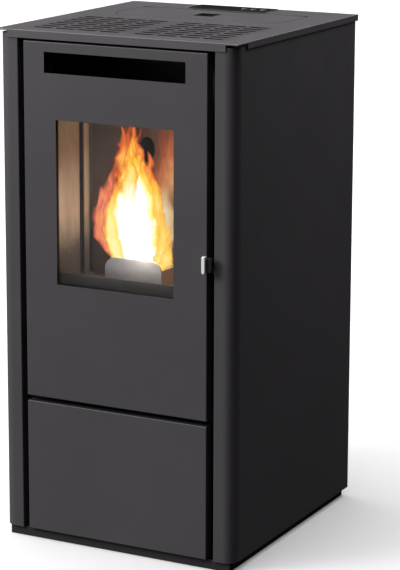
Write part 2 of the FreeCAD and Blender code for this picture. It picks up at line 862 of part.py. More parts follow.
def chute_cyl(name, r, start=-60, length=140):
    """Round bar along the pellet chute's axis, which falls forward at 45 degrees."""
    o = doc.addObject("Part::Cylinder", name)
    r = as_dim(r)
    o.Radius = r.v
    o.Height = length
    bind(o, "Radius", r)
    k = start * math.sqrt(0.5)
    return put(o, g.feed_x, g.fire_y1 - 4 + k, g.chute_z + k, Rotation(Vector(1, 0, 0), -45))


node(
    cut(
        "back_wall_cut",
        box("back_wall_blank", (-wx1, wx1), (ye, ye + g.wall_t), (g.fire_z0, g.fire_z1)),
        [
            chute_cyl("back_wall_chute_hole", g.chute_r + 0.3),
            box("smoke_exit", (-128, -53), (ye - 5, ye + 10), (736, 760)),
        ],
    ),
    "firebox_back_wall",
)
floor_tools = [box("pot_hole", (-g.pot_hw - 1, g.pot_hw + 1), (-165, -101), (430, 450))]
for i in range(4):
    x0 = -118 + 60 * i
    floor_tools.append(box("ash_slot_%d" % i, (x0, x0 + 54), (-195, -181), (430, 450)))
# Floor with an ash lip along its front edge.
node(
    cut(
        "fire_floor_cut",
        fuse(
            "fire_floor_weld",
            [
                box("fire_floor_blank", (-wx0, wx0), (ys, ye), (g.fire_z0, g.fire_z0 + g.wall_t)),
                box("fire_floor_lip", (-wx0, wx0), (ys, ys + g.wall_t), (g.fire_z0, g.lip_z)),
            ],
        ),
        floor_tools,
    ),
    "firebox_floor",
)
node(
    cut(
        "back_liner_cut",
        box("back_liner_blank", (-125, 125), (ye - 8, ye), (g.fire_z0 + g.wall_t, 730)),
        [chute_cyl("liner_chute_hole", g.chute_r + 0.3)],
    ),
    "firebox_back_liner",
)
baffle = box("baffle_plate", (-wx0, wx0), (-50, 50), (-6, 6))
put(baffle, -wx0, -196, 732, Rotation(Vector(1, 0, 0), 14))
node(baffle, "flame_baffle")

# Burn pot: a cup with a perforated bottom, a collar that sits on the floor, and a front plate.
pot = body("burn_pot_cast")
s = sketch(pot, "pot_block", "XY_Plane", 424)
rect(s, -g.pot_hw, g.pot_hw, -164, -102)
pad(pot, s, 54)
s = sketch(pot, "pot_collar", "XY_Plane", g.fire_z0 + g.wall_t)
rect(s, -g.pot_hw - 6, g.pot_hw + 6, -168, -97)
pad(pot, s, 3)
s = sketch(pot, "pot_cup", "XY_Plane", 478)
rect(s, 4 - g.pot_hw, g.pot_hw - 4, -160, -106)
pocket(pot, s, 49)
s = sketch(pot, "pot_hole_row", "XY_Plane", 478)
for u in (-32, -16, 0, 16, 32):
    for v in (-148, -133, -118):
        circle(s, u, v, 3)
pocket(pot, s)
s = sketch(pot, "pot_apron", "XZ_Plane", 172)
rect(s, -g.apron_hw, g.apron_hw, g.fire_z0 + g.wall_t + 1, g.apron_z1)
p = pad(pot, s, 4, back=True)
az = g.apron_z1.v
f = fillet(
    pot,
    p,
    lambda e: e.BoundBox.YLength > 3
    and e.BoundBox.XLength < 1e-4
    and abs(e.BoundBox.ZMin - az) < 1e-3
    and abs(abs(e.BoundBox.XMin) - g.apron_hw.v) < 1e-3,
    20,
    "pot_apron_corners",
)
node(pot, "burn_pot")
holder = cut(
    "pot_holder_box",
    box("pot_holder_outer", (-62, 115), (-172, ye), (386, g.fire_z0)),
    [box("pot_holder_inner", (-60, 113), (-170, ye - 2), (388, g.fire_z0 + 1))],
)
node(
    cut(
        "pot_holder_cut",
        holder,
        [
            cyl("holder_air_hole", "y", (g.air_x, ye - 20, g.air_z), 40, g.air_r - 0.5),
            cyl("holder_igniter_hole", "y", (0, ye - 20, 406), 40, 5.7),
        ],
    ),
    "burn_pot_holder",
)
node(
    fuse(
        "igniter_rod",
        [
            cyl("igniter_tube", "y", (0, -118, 406), 92, 5.5),
            cyl("igniter_flange", "y", (0, ye, 406), 4, 14),
        ],
    ),
    "igniter",
)
node(
    cut(
        "ash_chute_duct",
        box("ash_chute_outer", (-128, 128), (-199.5, -174), (160, g.fire_z0)),
        [box("ash_chute_inner", (-126, 126), (-197.5, -176), (150, g.fire_z0 + 5))],
    ),
    "ash_chute",
)
# Warm-air duct above the firebox. Its floor is the firebox roof.
duct = cut(
    "air_duct_shell",
    box("air_duct_outer", (-wx0, wx0), (ys, ye), (g.fire_z1 - g.wall_t, 862)),
    [
        box("air_duct_inner", (2 - wx0, wx0 - 2), (ys - 5, ye - 2), (g.fire_z1, 860)),
        box("air_duct_back", (-100, 100), (ye - 20, ye + 20), (782, 846)),
    ],
    apart=False,
)
node(duct, "air_outlet_duct")

# ---------------------------------------------------------------- pellet feed

INCLINE = Rotation(Vector(1, 0, 0), 30)
UP = INCLINE.multVec(Vector(0, 0, 1))


def on_auger(obj, s_=0.0):
    """Puts a piece that was made along Z on the auger's inclined axis, s_ up from its foot."""
    return put(obj, g.feed_x, g.auger_y + UP.y * s_, g.auger_z + UP.z * s_, INCLINE)


def auger_cyl(name, s0, s1, r):
    o = doc.addObject("Part::Cylinder", name)
    r = as_dim(r)
    o.Radius = r.v
    o.Height = s1 - s0
    bind(o, "Radius", r)
    return on_auger(o, s0)


def auger_box(name, hx, hv, s0, s1):
    o = doc.addObject("Part::Box", name)
    o.Length, o.Width, o.Height = 2 * hx, 2 * hv, s1 - s0
    off = INCLINE.multVec(Vector(-hx, -hv, s0))
    return put(o, g.feed_x + off.x, g.auger_y + off.y, g.auger_z + off.z, INCLINE)


tube = fuse(
    "auger_tube_weld",
    [
        auger_cyl("auger_tube_outer", -12, 384, g.tube_r),
        auger_box("auger_tube_flange", 33, 30, -15, -12),
    ],
)
node(
    cut(
        "auger_tube_cut",
        tube,
        [
            auger_cyl("auger_tube_bore", -9, 381.5, g.tube_r - 2.5),
            auger_cyl("auger_tube_foot_bore", -20, 5, g.shaft_r + 0.08),
            box("auger_inlet", (g.feed_x - 21, g.feed_x + 21), (112, 149), (430, 520)),
            chute_cyl("auger_outlet", g.chute_r - 1.5, 10, 60),
        ],
        apart=False,
    ),
    "auger_tube",
)

screw = doc.addObject("Part::Feature", "auger_screw_shape")
flight_r, pitch, core_r = (
    float(sheet.get("auger_r")),
    float(sheet.get("auger_pitch")),
    float(sheet.get("shaft_r")),
)
length = 352.0
helix = Part.makeHelix(pitch, length, core_r - 1.0)
x0 = core_r - 1.0
profile = Part.makePolygon(
    [
        Vector(x0, 0, -1.5),
        Vector(flight_r, 0, -1.0),
        Vector(flight_r, 0, 1.0),
        Vector(x0, 0, 1.5),
        Vector(x0, 0, -1.5),
    ]
)
flight = Part.Wire(helix).makePipeShell([Part.Wire(profile.Edges)], True, True)
flight.translate(Vector(0, 0, 8))
core = Part.makeCylinder(core_r, 410, Vector(0, 0, -40))
screw.Shape = core.fuse(flight).removeSplitter()
on_auger(screw)
node(screw, "auger_screw")

node(
    cut(
        "gearmotor_bored",
        fuse(
            "gearmotor_weld",
            [
                auger_box("gearbox", 33, 30, -51, -15),
                auger_cyl("gearmotor_can", -108, -50, 28),
            ],
        ),
        [auger_cyl("gearbox_bore", -42, -10, g.shaft_r + 0.08)],
    ),
    "auger_gearmotor",
)

chute = cut(
    "pellet_chute_tube",
    chute_cyl("pellet_chute_outer", g.chute_r),
    [chute_cyl("pellet_chute_inner", g.chute_r - 1.5, -70, 160)],
)
node(
    cut(
        "pellet_chute_trim",
        chute,
        [
            auger_cyl("chute_trim_auger", -12, 500, g.tube_r),
            box("chute_trim_front", (-60, 40), (-250, ye - 9), (560, 760)),
            box("chute_trim_rear", (-60, 40), (-20, 90), (600, 800)),
        ],
        apart=False,
    ),
    "pellet_chute",
)


def loft(name, z0, r0, z1, r1):
    """Tapered bar between two rectangles (x middle, x half width, y from, y to)."""
    wires = []
    for k, (z, (cx, hx, y0, y1)) in enumerate(((z0, r0), (z1, r1))):
        cx, hx, y0, y1 = as_dim(cx), as_dim(hx), as_dim(y0), as_dim(y1)
        w = doc.addObject("Part::Plane", "%s_%d" % (name, k))
        w.Length = 2 * hx.v
        w.Width = (y1 - y0).v
        bind(w, "Length", 2 * hx)
        bind(w, "Width", y1 - y0)
        put(w, cx - hx, y0, z)
        wires.append(w)
    o = doc.addObject("Part::Loft", name)
    o.Sections = wires
    o.Solid = True
    o.Ruled = True
    return o


t = g.sheet_t
hop_top = top_under - 2
outer = fuse(
    "hopper_outer",
    [
        box("hopper_box", (-g.hop_hw, g.hop_hw), (g.hop_y0, g.hop_y1), (g.hop_z, top_under)),
        loft("hopper_taper", 500, (g.feed_x, 24, 108, 151), g.hop_z, (0, g.hop_hw, g.hop_y0, g.hop_y1)),
        box("hopper_spout", (g.feed_x - 24, g.feed_x + 24), (108, 151), (430, 500)),
        box("hopper_flange", (-172, 172), (26, g.hop_y1), (hop_top, top_under)),
    ],
)
inner = fuse(
    "hopper_inner",
    [
        box("hopper_room", (t - g.hop_hw, g.hop_hw - t), (g.hop_y0 + t, g.hop_y1 - t), (g.hop_z, 890)),
        loft(
            "hopper_room_taper",
            500,
            (g.feed_x, 22, 110, 149),
            g.hop_z,
            (0, g.hop_hw - t, g.hop_y0 + t, g.hop_y1 - t),
        ),
        box("hopper_room_spout", (g.feed_x - 22, g.feed_x + 22), (110, 149), (420, 500)),
        auger_cyl("hopper_trim", -12, 420, g.tube_r),
    ],
)
node(cut("hopper_cut", outer, [inner]), "hopper")

bars = []
for i in range(9):
    x = -120 + 30 * i
    bars.append(
        box("guard_bar_%d" % i, (x - 2, x + 2), (g.hop_y0 + t, g.hop_y1 - t), (826, 832))
    )
node(group("guard_set", bars), "hopper_guard")

# Hopper lid with its hinge knuckles, finger pull and gasket.
lid = body("lid_plate")
s = sketch(lid, "lid_outline", "XY_Plane", g.case_h - 2)
rect(s, -g.lid_hw, g.lid_hw, g.lid_y0, g.lid_y1)
p = pad(lid, s, 2)
f = fillet(
    lid,
    p,
    lambda e: upright_at(g.lid_hw.v, g.lid_y0.v)(e) or upright_at(-g.lid_hw.v, g.lid_y0.v)(e),
    g.lid_r,
    "lid_corners",
)
s = sketch(lid, "lid_pull_hole", "XY_Plane", g.case_h)
rect(s, -17, 17, 79, 111)
pocket(lid, s)
LID_HINGES = (-110, 110)
pieces = [lid]
bores = []
for i, x in enumerate(LID_HINGES):
    pieces.append(
        cyl("lid_knuckle_%d" % i, "x", (x - 30, g.lid_axis_y, g.lid_axis_z), 60, 3)
    )
    pieces.append(
        box("lid_tab_%d" % i, (x - 30, x + 30), (g.lid_y1 - 1, g.lid_axis_y), (g.case_h - 2, g.case_h - 0.4))
    )
    bores.append(cyl("lid_bore_%d" % i, "x", (x - 40, g.lid_axis_y, g.lid_axis_z), 80, 1.55))
node(cut("lid_cut", fuse("lid_weld", pieces), bores), "hopper_lid")
leaves = []
for i, x in enumerate(LID_HINGES):
    parts = [
        box("lid_leaf_%d" % i, (x - 46, x + 46), (g.lid_axis_y + 5, g.ctl_y0 + 3), (top_under - 2, top_under)),
        cyl("lid_pin_%d" % i, "x", (x - 46, g.lid_axis_y, g.lid_axis_z), 92, 1.5),
    ]
    for k, (a, c) in enumerate(((-46, -30.5), (30.5, 46))):
        parts.append(
            cyl("lid_barrel_%d_%d" % (i, k), "x", (x + a, g.lid_axis_y, g.lid_axis_z), c - a, 3)
        )
        parts.append(
            box(
                "lid_link_%d_%d" % (i, k),
                (x + a, x + c),
                (g.lid_axis_y, g.lid_axis_y + 6),
                (top_under - 2, top_under),
            )
        )
    leaves.append(fuse("lid_hinge_%d" % i, parts))
node(group("lid_hinge_set", leaves), "lid_hinge_brackets")
node(
    cut(
        "finger_pull_cup",
        fuse(
            "finger_pull_block",
            [
                box("pull_flange", (-18.5, 18.5), (77.5, 112.5), (g.case_h, g.case_h + 0.8)),
                box("pull_cup", (-17, 17), (79, 111), (g.case_h - 12, g.case_h)),
            ],
        ),
        [box("pull_recess", (-15.5, 15.5), (80.5, 109.5), (g.case_h - 10.5, g.case_h + 5))],
    ),
    "lid_finger_pull",
)
node(
    cut(
        "lid_seal_ring",
        box("lid_seal_outer", (-145, 145), (42, 151), (g.case_h - 7, g.case_h - 2)),
        [box("lid_seal_inner", (-137, 137), (50, 143), (g.case_h - 8, g.case_h))],
    ),
    "lid_gasket",
)

# ---------------------------------------------------------------- smoke side and combustion air

duct_box = cut(
    "smoke_duct_shell",
    box("smoke_duct_outer", (-132, -49), (ye + g.wall_t, -45), (158, 766)),
    [box("smoke_duct_inner", (-130, -51), (ye + g.wall_t + 2, -47), (160, 764))],
)
node(
    cut(
        "smoke_duct_cut",
        duct_box,
        [
            box("smoke_duct_in", (-128, -53), (ye, ye + 8), (736, 760)),
            cyl("smoke_duct_out", "y", (g.smoke_x, -60, g.smoke_z), 30, 28),
        ],
    ),
    "smoke_duct",
)
sx_, sz_, sr_ = g.smoke_x, g.smoke_z, g.smoke_r
volute = fuse(
    "smoke_volute",
    [
        cyl("smoke_drum", "y", (sx_, -45, sz_), 55, sr_),
        box("smoke_spout", (sx_, 25), (-45, 10), (sz_ - sr_, sz_ - 12)),
    ],
)
volute_in = fuse(
    "smoke_volute_room",
    [
        cyl("smoke_room", "y", (sx_, -43, sz_), 51, sr_ - 2),
        box("smoke_spout_room", (sx_, 30), (-43, 8), (sz_ - sr_ + 2, sz_ - 14)),
        cyl("smoke_inlet", "y", (sx_, -50, sz_), 20, 28),
        cyl("smoke_shaft_hole", "y", (sx_, 0, sz_), 20, 7),
        cyl("smoke_spout_trim", "y", (g.flue_x, -60, g.flue_z), 100, g.flue_r - 0.5),
    ],
)
node(cut("smoke_volute_cut", volute, [volute_in]), "smoke_fan_housing")

wheel = body("smoke_wheel")
s = sketch(wheel, "smoke_disc", "XZ_Plane")
circle(s, 0, 0, 58)
circle(s, 0, 0, 4)
pad(wheel, s, 2, back=True)
s = sketch(wheel, "smoke_hub", "XZ_Plane")
circle(s, 0, 0, 12)
circle(s, 0, 0, 4)
pad(wheel, s, 16, back=False)
s = sketch(wheel, "smoke_blade", "XZ_Plane")
polygon(s, [(22, -1.2), (57, -9), (57, -6.6), (22, 1.2)])
blade = pad(wheel, s, 26, back=False)
ring = wheel.newObject("PartDesign::PolarPattern", "smoke_blades")
ring.Originals = [blade]
ring.Axis = (s, ["N_Axis"])
ring.Angle = 360
ring.Occurrences = 12
wheel.Tip = ring
doc.recompute()
put(wheel, sx_, 2, sz_)
axle = cyl("smoke_axle", "y", (sx_, -16, sz_), 40, 4)
node(fuse("smoke_rotor", [wheel, axle]), "smoke_fan_impeller")
node(
    cut(
        "smoke_motor_bored",
        fuse(
            "smoke_motor_weld",
            [
                cyl("smoke_motor_can", "y", (sx_, 16, sz_), 58, 34),
                cyl("smoke_motor_flange", "y", (sx_, 10, sz_), 6, 48),
            ],
        ),
        [cyl("smoke_motor_bore", "y", (sx_, 5, sz_), 22, 4.08)],
    ),
    "smoke_fan_motor",
)

flue = body("flue_pipe")
s = sketch(flue, "flue_profile", "XZ_Plane")
fr = g.flue_r
flen = g.flue_y1 + 45
polygon(
    s,
    [
        (0, 0),
        (fr - 0.5, 0),
        (fr - 0.5, flen - 50),
        (fr, flen - 50),
        (fr, flen),
        (fr - 2.5, flen),
        (fr - 2.5, 2),
        (0, 2),
    ],
)
revolve(flue, s)
put(flue, g.flue_x, -45, g.flue_z, TURN["y"])
node(
    cut(
        "flue_pipe_cut",
        flue,
        [box("flue_side_inlet", (0, g.flue_x), (-40, 5), (sz_ - sr_ + 6, sz_ - 16))],
    ),
    "flue_spigot",
)
air = body("air_intake_pipe")
s = sketch(air, "air_profile", "XZ_Plane")
ar = g.air_r
alen = g.air_y1 - ye + 2
polygon(
    s,
    [
        (ar - 2, 0),
        (ar - 0.5, 0),
        (ar - 0.5, alen - 38),
        (ar, alen - 38),
        (ar, alen),
        (ar - 2, alen),
    ],
)
revolve(air, s)
put(air, g.air_x, ye - 2, g.air_z, TURN["y"])
node(air, "air_intake_pipe")

# ---------------------------------------------------------------- room fan

ry, rz, rr = g.room_y, g.room_z, g.room_r
scroll = fuse(
    "room_scroll",
    [
        cyl("room_drum", "x", (-180, ry, rz), 100, rr),
        box("room_spout", (-180, -80), (ry, ry + rr), (rz, 218)),
    ],
)
scroll_in = fuse(
    "room_scroll_room",
    [
        cyl("room_inside", "x", (-178, ry, rz), 96, rr - 2),
        box("room_spout_inside", (-178, -82), (ry, ry + rr - 2), (rz, 230)),
        cyl("room_inlets", "x", (-200, ry, rz), 150, 38),
    ],
)
node(cut("room_scroll_cut", scroll, [scroll_in]), "room_fan_housing")
cage = body("room_cage")
s = sketch(cage, "room_disc", "YZ_Plane")
circle(s, 0, 0, 50)
circle(s, 0, 0, 4)
pad(cage, s, 2)
s = sketch(cage, "room_rim", "YZ_Plane", 82)
circle(s, 0, 0, 50)
circle(s, 0, 0, 42)
pad(cage, s, 2)
s = sketch(cage, "room_hub", "YZ_Plane", 2)
circle(s, 0, 0, 11)
circle(s, 0, 0, 4)
pad(cage, s, 14)
s = sketch(cage, "room_blade", "YZ_Plane", 2)
polygon(s, [(42.5, -1.0), (49.5, -4.2), (49.5, -2.6), (42.5, 1.0)])
blade = pad(cage, s, 80)
ring = cage.newObject("PartDesign::PolarPattern", "room_blades")
ring.Originals = [blade]
ring.Axis = (s, ["N_Axis"])
ring.Angle = 360
ring.Occurrences = 28
cage.Tip = ring
doc.recompute()
put(cage, -172, ry, rz)
axle = cyl("room_axle", "x", (-178, ry, rz), 120, 4)
node(fuse("room_rotor", [cage, axle]), "room_fan_impeller")
legs = [cyl("room_motor_can", "x", (-74, ry, rz), 56, 30)]
for i, (a, c) in enumerate((((-50, -26), (-6, 6)), ((26, 50), (-6, 6)))):
    legs.append(
        box("room_motor_leg_%d" % i, (-80, -70), (ry + a[0], ry + a[1]), (rz + c[0], rz + c[1]))
    )
node(
    cut(
        "room_motor_bored",
        fuse("room_motor_weld", legs),
        [cyl("room_motor_bore", "x", (-100, ry, rz), 46, 4.08)],
    ),
    "room_fan_motor",
)

# ---------------------------------------------------------------- controls

cz = g.case_h + g.ctl_t
BUTTONS = (("button_down", 22), ("button_up", 40), ("button_power", 60))
BTN_Y = 196
panel = fuse(
    "control_block",
    [
        box("control_face", (-g.ctl_hw, g.ctl_hw), (g.ctl_y0, g.ctl_y1), (g.case_h, cz)),
        box("control_case", (6 - g.ctl_hw, g.ctl_hw - 6), (g.ctl_y0 + 4.5, g.ctl_y1 - 4.5), (858, g.case_h)),
    ],
)
tools = [
    box("control_room", (8 - g.ctl_hw, g.ctl_hw - 8), (g.ctl_y0 + 6.5, g.ctl_y1 - 6.5), (860, g.case_h)),
    box("display_hole", (-64, 4), (183, 209), (g.case_h - 1, cz + 1)),
]
for name, x in BUTTONS:
    tools.append(cyl(name + "_hole", "z", (x, BTN_Y, 870), 20, g.btn_r + 0.35))
node(cut("control_panel_cut", panel, tools, apart=False), "control_panel")
node(box("display_pane", (-64, 4), (183, 209), (g.case_h, cz)), "display_window")
for name, x in BUTTONS:
    b = body(name)
    s = sketch(b, name + "_profile", "XZ_Plane")
    r = g.btn_r
    polygon(
        s,
        [(0, 0), (r + 1.6, 0), (r + 1.6, 1.6), (r, 1.6), (r, 6.2), (r - 0.5, 6.7), (0, 6.7)],
    )
    revolve(b, s)
    put(b, x, BTN_Y, g.case_h - 3.5)
    node(b, name)

parts = [box("board_sheet", (206, 208), (40, 170), (260, 430))]
for i, (y, z) in enumerate(((48, 268), (162, 268), (48, 422), (162, 422))):
    parts.append(cyl("board_post_%d" % i, "x", (207, y, z), 13, 4))
for i, (dx, y0, y1, z0, z1) in enumerate(
    (
        (22, 56, 96, 280, 322),
        (14, 104, 124, 276, 300),
        (14, 130, 150, 276, 300),
        (10, 60, 80, 340, 380),
        (8, 96, 150, 345, 370),
        (12, 60, 150, 395, 412),
    )
):
    parts.append(box("board_part_%d" % i, (207 - dx, 207), (y0, y1), (z0, z1)))
node(fuse("board_set", parts), "control_board")

# Mains inlet and switch: one moulded unit, pressed into the rear panel from outside.
RX, RZ = -116, 250
sock = cut(
    "inlet_shell",
    fuse(
        "inlet_block",
        [
            box("inlet_flange", (-188, -103), (230, 232.5), (232, 268)),
            box("inlet_case", (-183.5, -136.5), (206, 230), (236.5, 263.5)),
            box("switch_case", (RX - 10, RX + 10), (206, 230), (236.5, 263.5)),
        ],
    ),
    [
        box("inlet_mouth", (-174, -146), (213, 240), (240.5, 259.5)),
        box("switch_mouth", (RX - 8.5, RX + 8.5), (214, 240), (RZ - 12, RZ + 12)),
    ],
)
pins = [
    box("inlet_pin_%d" % i, (x - 1, x + 1), (212, 227), (z - 2.5, z + 2.5))
    for i, (x, z) in enumerate(((-167, 247), (-153, 247), (-160, 253.5)))
]
node(fuse("inlet_weld", [sock] + pins), "power_inlet")

# Rocker of the switch, on a crosswise axis.
rock = body("rocker_key")
s = sketch(rock, "rocker_side", "YZ_Plane", RX - 8)
polygon(
    s,
    [
        (222, RZ - 6),
        (229.5, RZ - 10.6),
        (233.5, RZ - 10.2),
        (231.4, RZ),
        (233.5, RZ + 10.2),
        (229.5, RZ + 10.6),
        (222, RZ + 6),
    ],
)
pad(rock, s, 16)
# It rests tipped to one side, 8 degrees about the axis at y 224, z RZ.
TIP = Rotation(Vector(1, 0, 0), -8)
pivot_at = Vector(0, 224, RZ)
base = pivot_at - TIP.multVec(pivot_at)
put(rock, base.x, base.y, base.z, TIP)
node(rock, "rocker_switch")

# ---------------------------------------------------------------- check and write

doc.recompute()
bad = []
for o in doc.Objects:
    if "Invalid" in o.State or "Error" in o.State:
        bad.append("%s (%s)" % (o.Name, o.Label))
for label, o in NODES:
    shape = o.Shape
    if shape.isNull() or not shape.isValid() or not shape.Solids or shape.Volume <= 0:
        bad.append("%s has no sound solid" % label)
if len(set(label for label, o in NODES)) != len(NODES):
    bad.append("two sub-parts share a name")
if bad:
    raise RuntimeError("; ".join(bad))
os.makedirs("parts", exist_ok=True)
for label, o in NODES:
    o.Shape.exportStep("parts/%s.step" % label)
    print("%-24s solids %2d  volume %10.0f mm3" % (label, len(o.Shape.Solids), o.Shape.Volume))
print("sub-parts: %d" % len(NODES))
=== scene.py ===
import math
import random

import bmesh
import bpy
from mathutils import Matrix, Vector, noise


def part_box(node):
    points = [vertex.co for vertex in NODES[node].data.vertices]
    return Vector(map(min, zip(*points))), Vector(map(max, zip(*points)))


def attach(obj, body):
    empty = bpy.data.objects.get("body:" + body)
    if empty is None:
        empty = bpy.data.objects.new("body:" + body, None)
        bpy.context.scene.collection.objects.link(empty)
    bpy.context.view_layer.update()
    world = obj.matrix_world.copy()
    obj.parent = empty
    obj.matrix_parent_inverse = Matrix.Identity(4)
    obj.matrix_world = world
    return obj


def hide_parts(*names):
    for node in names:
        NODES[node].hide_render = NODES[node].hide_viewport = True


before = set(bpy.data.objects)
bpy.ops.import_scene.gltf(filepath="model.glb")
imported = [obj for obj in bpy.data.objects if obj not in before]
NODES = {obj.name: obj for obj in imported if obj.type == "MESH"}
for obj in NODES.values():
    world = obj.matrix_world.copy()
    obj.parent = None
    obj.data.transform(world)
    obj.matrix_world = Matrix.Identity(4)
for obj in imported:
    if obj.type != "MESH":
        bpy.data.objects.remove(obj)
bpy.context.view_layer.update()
scene = bpy.context.scene
rng = random.Random(7)

# ------------------------------------------------------------------ node helpers


class Mat(object):
    """A node material with a Principled shader and short ways to feed it."""

    def __init__(self, name):
        self.m = bpy.data.materials.new(name)
        self.m.use_nodes = True
        self.nt = self.m.node_tree
        self.p = self.nt.nodes["Principled BSDF"]
        self.coord = None

    def node(self, kind, **values):
        n = self.nt.nodes.new(kind)
        for k, v in values.items():
            setattr(n, k, v)
        return n

    def link(self, a, b):
        self.nt.links.new(a, b)

    def set(self, **values):
        for k, v in values.items():
            self.p.inputs[k.replace("_", " ")].default_value = v
        return self

    def place(self, which="Object"):
        if self.coord is None:
            self.coord = self.node("ShaderNodeTexCoord")
        return self.coord.outputs[which]

    def mapped(self, scale=(1, 1, 1), rot=(0, 0, 0), which="Object"):
        n = self.node("ShaderNodeMapping")
        n.inputs["Scale"].default_value = scale
        n.inputs["Rotation"].default_value = rot
        self.link(self.place(which), n.inputs["Vector"])
        return n.outputs["Vector"]

    def noise(self, scale, detail=2.0, rough=0.5, vector=None, distortion=0.0):
        n = self.node("ShaderNodeTexNoise")
        n.inputs["Scale"].default_value = scale
        n.inputs["Detail"].default_value = detail
        n.inputs["Roughness"].default_value = rough
        n.inputs["Distortion"].default_value = distortion
        self.link(vector or self.place(), n.inputs["Vector"])
        return n.outputs["Fac"]

    def voronoi(self, scale, feature="F1", out="Distance", vector=None):
        n = self.node("ShaderNodeTexVoronoi")
        n.feature = feature
        n.inputs["Scale"].default_value = scale
        self.link(vector or self.place(), n.inputs["Vector"])
        return n.outputs[out]

    def ramp(self, fac, stops, interp="LINEAR"):
        n = self.node("ShaderNodeValToRGB")
        n.color_ramp.interpolation = interp
        e = n.color_ramp.elements
        while len(e) < len(stops):
            e.new(0.5)
        for k, (pos, col) in enumerate(stops):
            e[k].position = pos
            col = (col, col, col) if not isinstance(col, (tuple, list)) else col
            e[k].color = (col[0], col[1], col[2], 1.0)
        self.link(fac, n.inputs["Fac"])
        return n.outputs["Color"]

    def mix(self, fac, a, b, blend="MIX"):
        n = self.node("ShaderNodeMix", data_type="RGBA", blend_type=blend)
        for sock, v in ((n.inputs[0], fac), (n.inputs[6], a), (n.inputs[7], b)):
            if isinstance(v, (int, float)):
                sock.default_value = v
            elif isinstance(v, (tuple, list)):
                sock.default_value = (v[0], v[1], v[2], 1.0)
            else:
                self.link(v, sock)
        return n.outputs[2]

    def math(self, op, a, b=None, clamp=False):
        n = self.node("ShaderNodeMath", operation=op, use_clamp=clamp)
        for sock, v in ((n.inputs[0], a), (n.inputs[1], b)):
            if v is None:
                continue
            if isinstance(v, (int, float)):
                sock.default_value = v
            else:
                self.link(v, sock)
        return n.outputs[0]

    def axis(self, which, source="Object"):
        n = self.node("ShaderNodeSeparateXYZ")
        self.link(self.place(source), n.inputs[0])
        return n.outputs[which]

    def colour(self, out):
        self.link(out, self.p.inputs["Base Color"])
        return self

    def rough(self, out):
        self.link(out, self.p.inputs["Roughness"])
        return self

    def bump(self, height, strength=0.2, distance=0.001):
        n = self.node("ShaderNodeBump")
        n.inputs["Strength"].default_value = strength
        n.inputs["Distance"].default_value = distance
        self.link(height, n.inputs["Height"])
        self.link(n.outputs["Normal"], self.p.inputs["Normal"])
        return self


def shade(c, k):
    return tuple(min(1.0, v * k) for v in c)


def powder_coat(name, c, rough=0.45, grain=0.12, tone=0.07, level=0.3, cuts=None, ledge=None):
    """Satin powder coat: a soft orange peel, a finer speckle and slow changes of tone.
    cuts: heights between which the punched edges of a top sheet are painted nearly black and made metallic, as painted
    shade in the slots; the grille field round them is painted a mottled, brownish darker tone, partly dust and partly
    painted shade of its slots.
    ledge: how dark the narrow edges that face up are painted, as painted shade on top edges that sit in shadow gaps."""
    m = Mat(name)
    slow = m.noise(2.3, 3, 0.55)
    fine = m.noise(1100, 2, 0.6)
    col = m.mix(m.ramp(slow, [(0.3, 0.0), (0.7, 1.0)]), shade(c, 1 - tone), shade(c, 1 + tone))
    speck = m.ramp(fine, [(0.35, 0.86), (0.65, 1.12)])
    col = m.mix(1.0, col, speck, "MULTIPLY")
    if cuts:
        # painted shade: the slot walls of the grille are painted nearly black and made metallic, so they show almost
        # no light
        z, x, y = m.axis("Z"), m.math("ABSOLUTE", m.axis("X")), m.axis("Y")
        part = m.math("MULTIPLY", m.math("SUBTRACT", cuts[1], z), 6000.0, True)
        for a, b in ((z, cuts[0]), (0.212, x), (y, -0.222), (0.19, y)):
            part = m.math("MULTIPLY", part, m.math("MULTIPLY", m.math("SUBTRACT", a, b), 6000.0, True))
        col = m.mix(part, col, (0.004, 0.0035, 0.0038))
        m.link(part, m.p.inputs["Metallic"])
        # the whole grille field is painted a mottled, brownish darker tone: partly dust, partly painted shade standing
        # in for the shade of its slots
        dust = m.math("ADD", m.math("MULTIPLY", m.noise(60, 3, 0.6), 0.5), 0.75, True)
        for a, b in ((0.195, x), (y, -0.205), (-0.005, y)):
            dust = m.math("MULTIPLY", dust, m.math("MULTIPLY", m.math("SUBTRACT", a, b), 60.0, True))
        col = m.mix(dust, col, m.mix(1.0, col, (0.8, 0.77, 0.77), "MULTIPLY"))
    if ledge:
        # painted shade: faces that look up are painted darker
        up = m.math("MULTIPLY", m.math("SUBTRACT", m.axis("Z", "Normal"), 0.2), 2.0, True)
        col = m.mix(up, col, shade(c, ledge))
    m.colour(col)
    r = m.ramp(m.noise(14, 3, 0.6), [(0.3, rough - 0.04), (0.7, rough + 0.05)])
    m.rough(r)
    peel = m.noise(420, 2, 0.5)
    m.bump(peel, grain, 0.0004)
    m.set(Specular_IOR_Level=level)
    return m.m


def galvanised(name, c=(0.42, 0.43, 0.44), rough=0.38, shaded_front=None):
    """Zinc-coated sheet with its crystal spangle. Faces in front of the y given as the last argument are painted
    black: painted shade.
    """
    m = Mat(name)
    cell = m.voronoi(120, out="Color")
    grey = m.ramp(m.noise(35, 4, 0.7), [(0.3, shade(c, 0.92)), (0.7, shade(c, 1.07))])
    spangle = m.node("ShaderNodeSeparateColor")
    m.link(cell, spangle.inputs[0])
    tone = m.ramp(spangle.outputs[0], [(0.0, 0.93), (1.0, 1.05)])
    col = m.mix(1.0, grey, tone, "MULTIPLY")
    metal = 0.75
    # painted shade: faces in front of the given y are painted black and not metallic
    if shaded_front is not None:
        near = m.math("MULTIPLY", m.math("SUBTRACT", shaded_front, m.axis("Y")), 4000.0, True)
        col = m.mix(near, col, (0.003, 0.003, 0.003))
        m.link(m.ramp(near, [(0.0, metal), (1.0, 0.0)]), m.p.inputs["Metallic"])
    else:
        m.set(Metallic=metal)
    m.colour(col)
    m.rough(m.ramp(spangle.outputs[1], [(0.0, rough - 0.03), (1.0, rough + 0.06)]))
    m.bump(m.noise(700, 2, 0.5), 0.08, 0.0003)
    return m.m


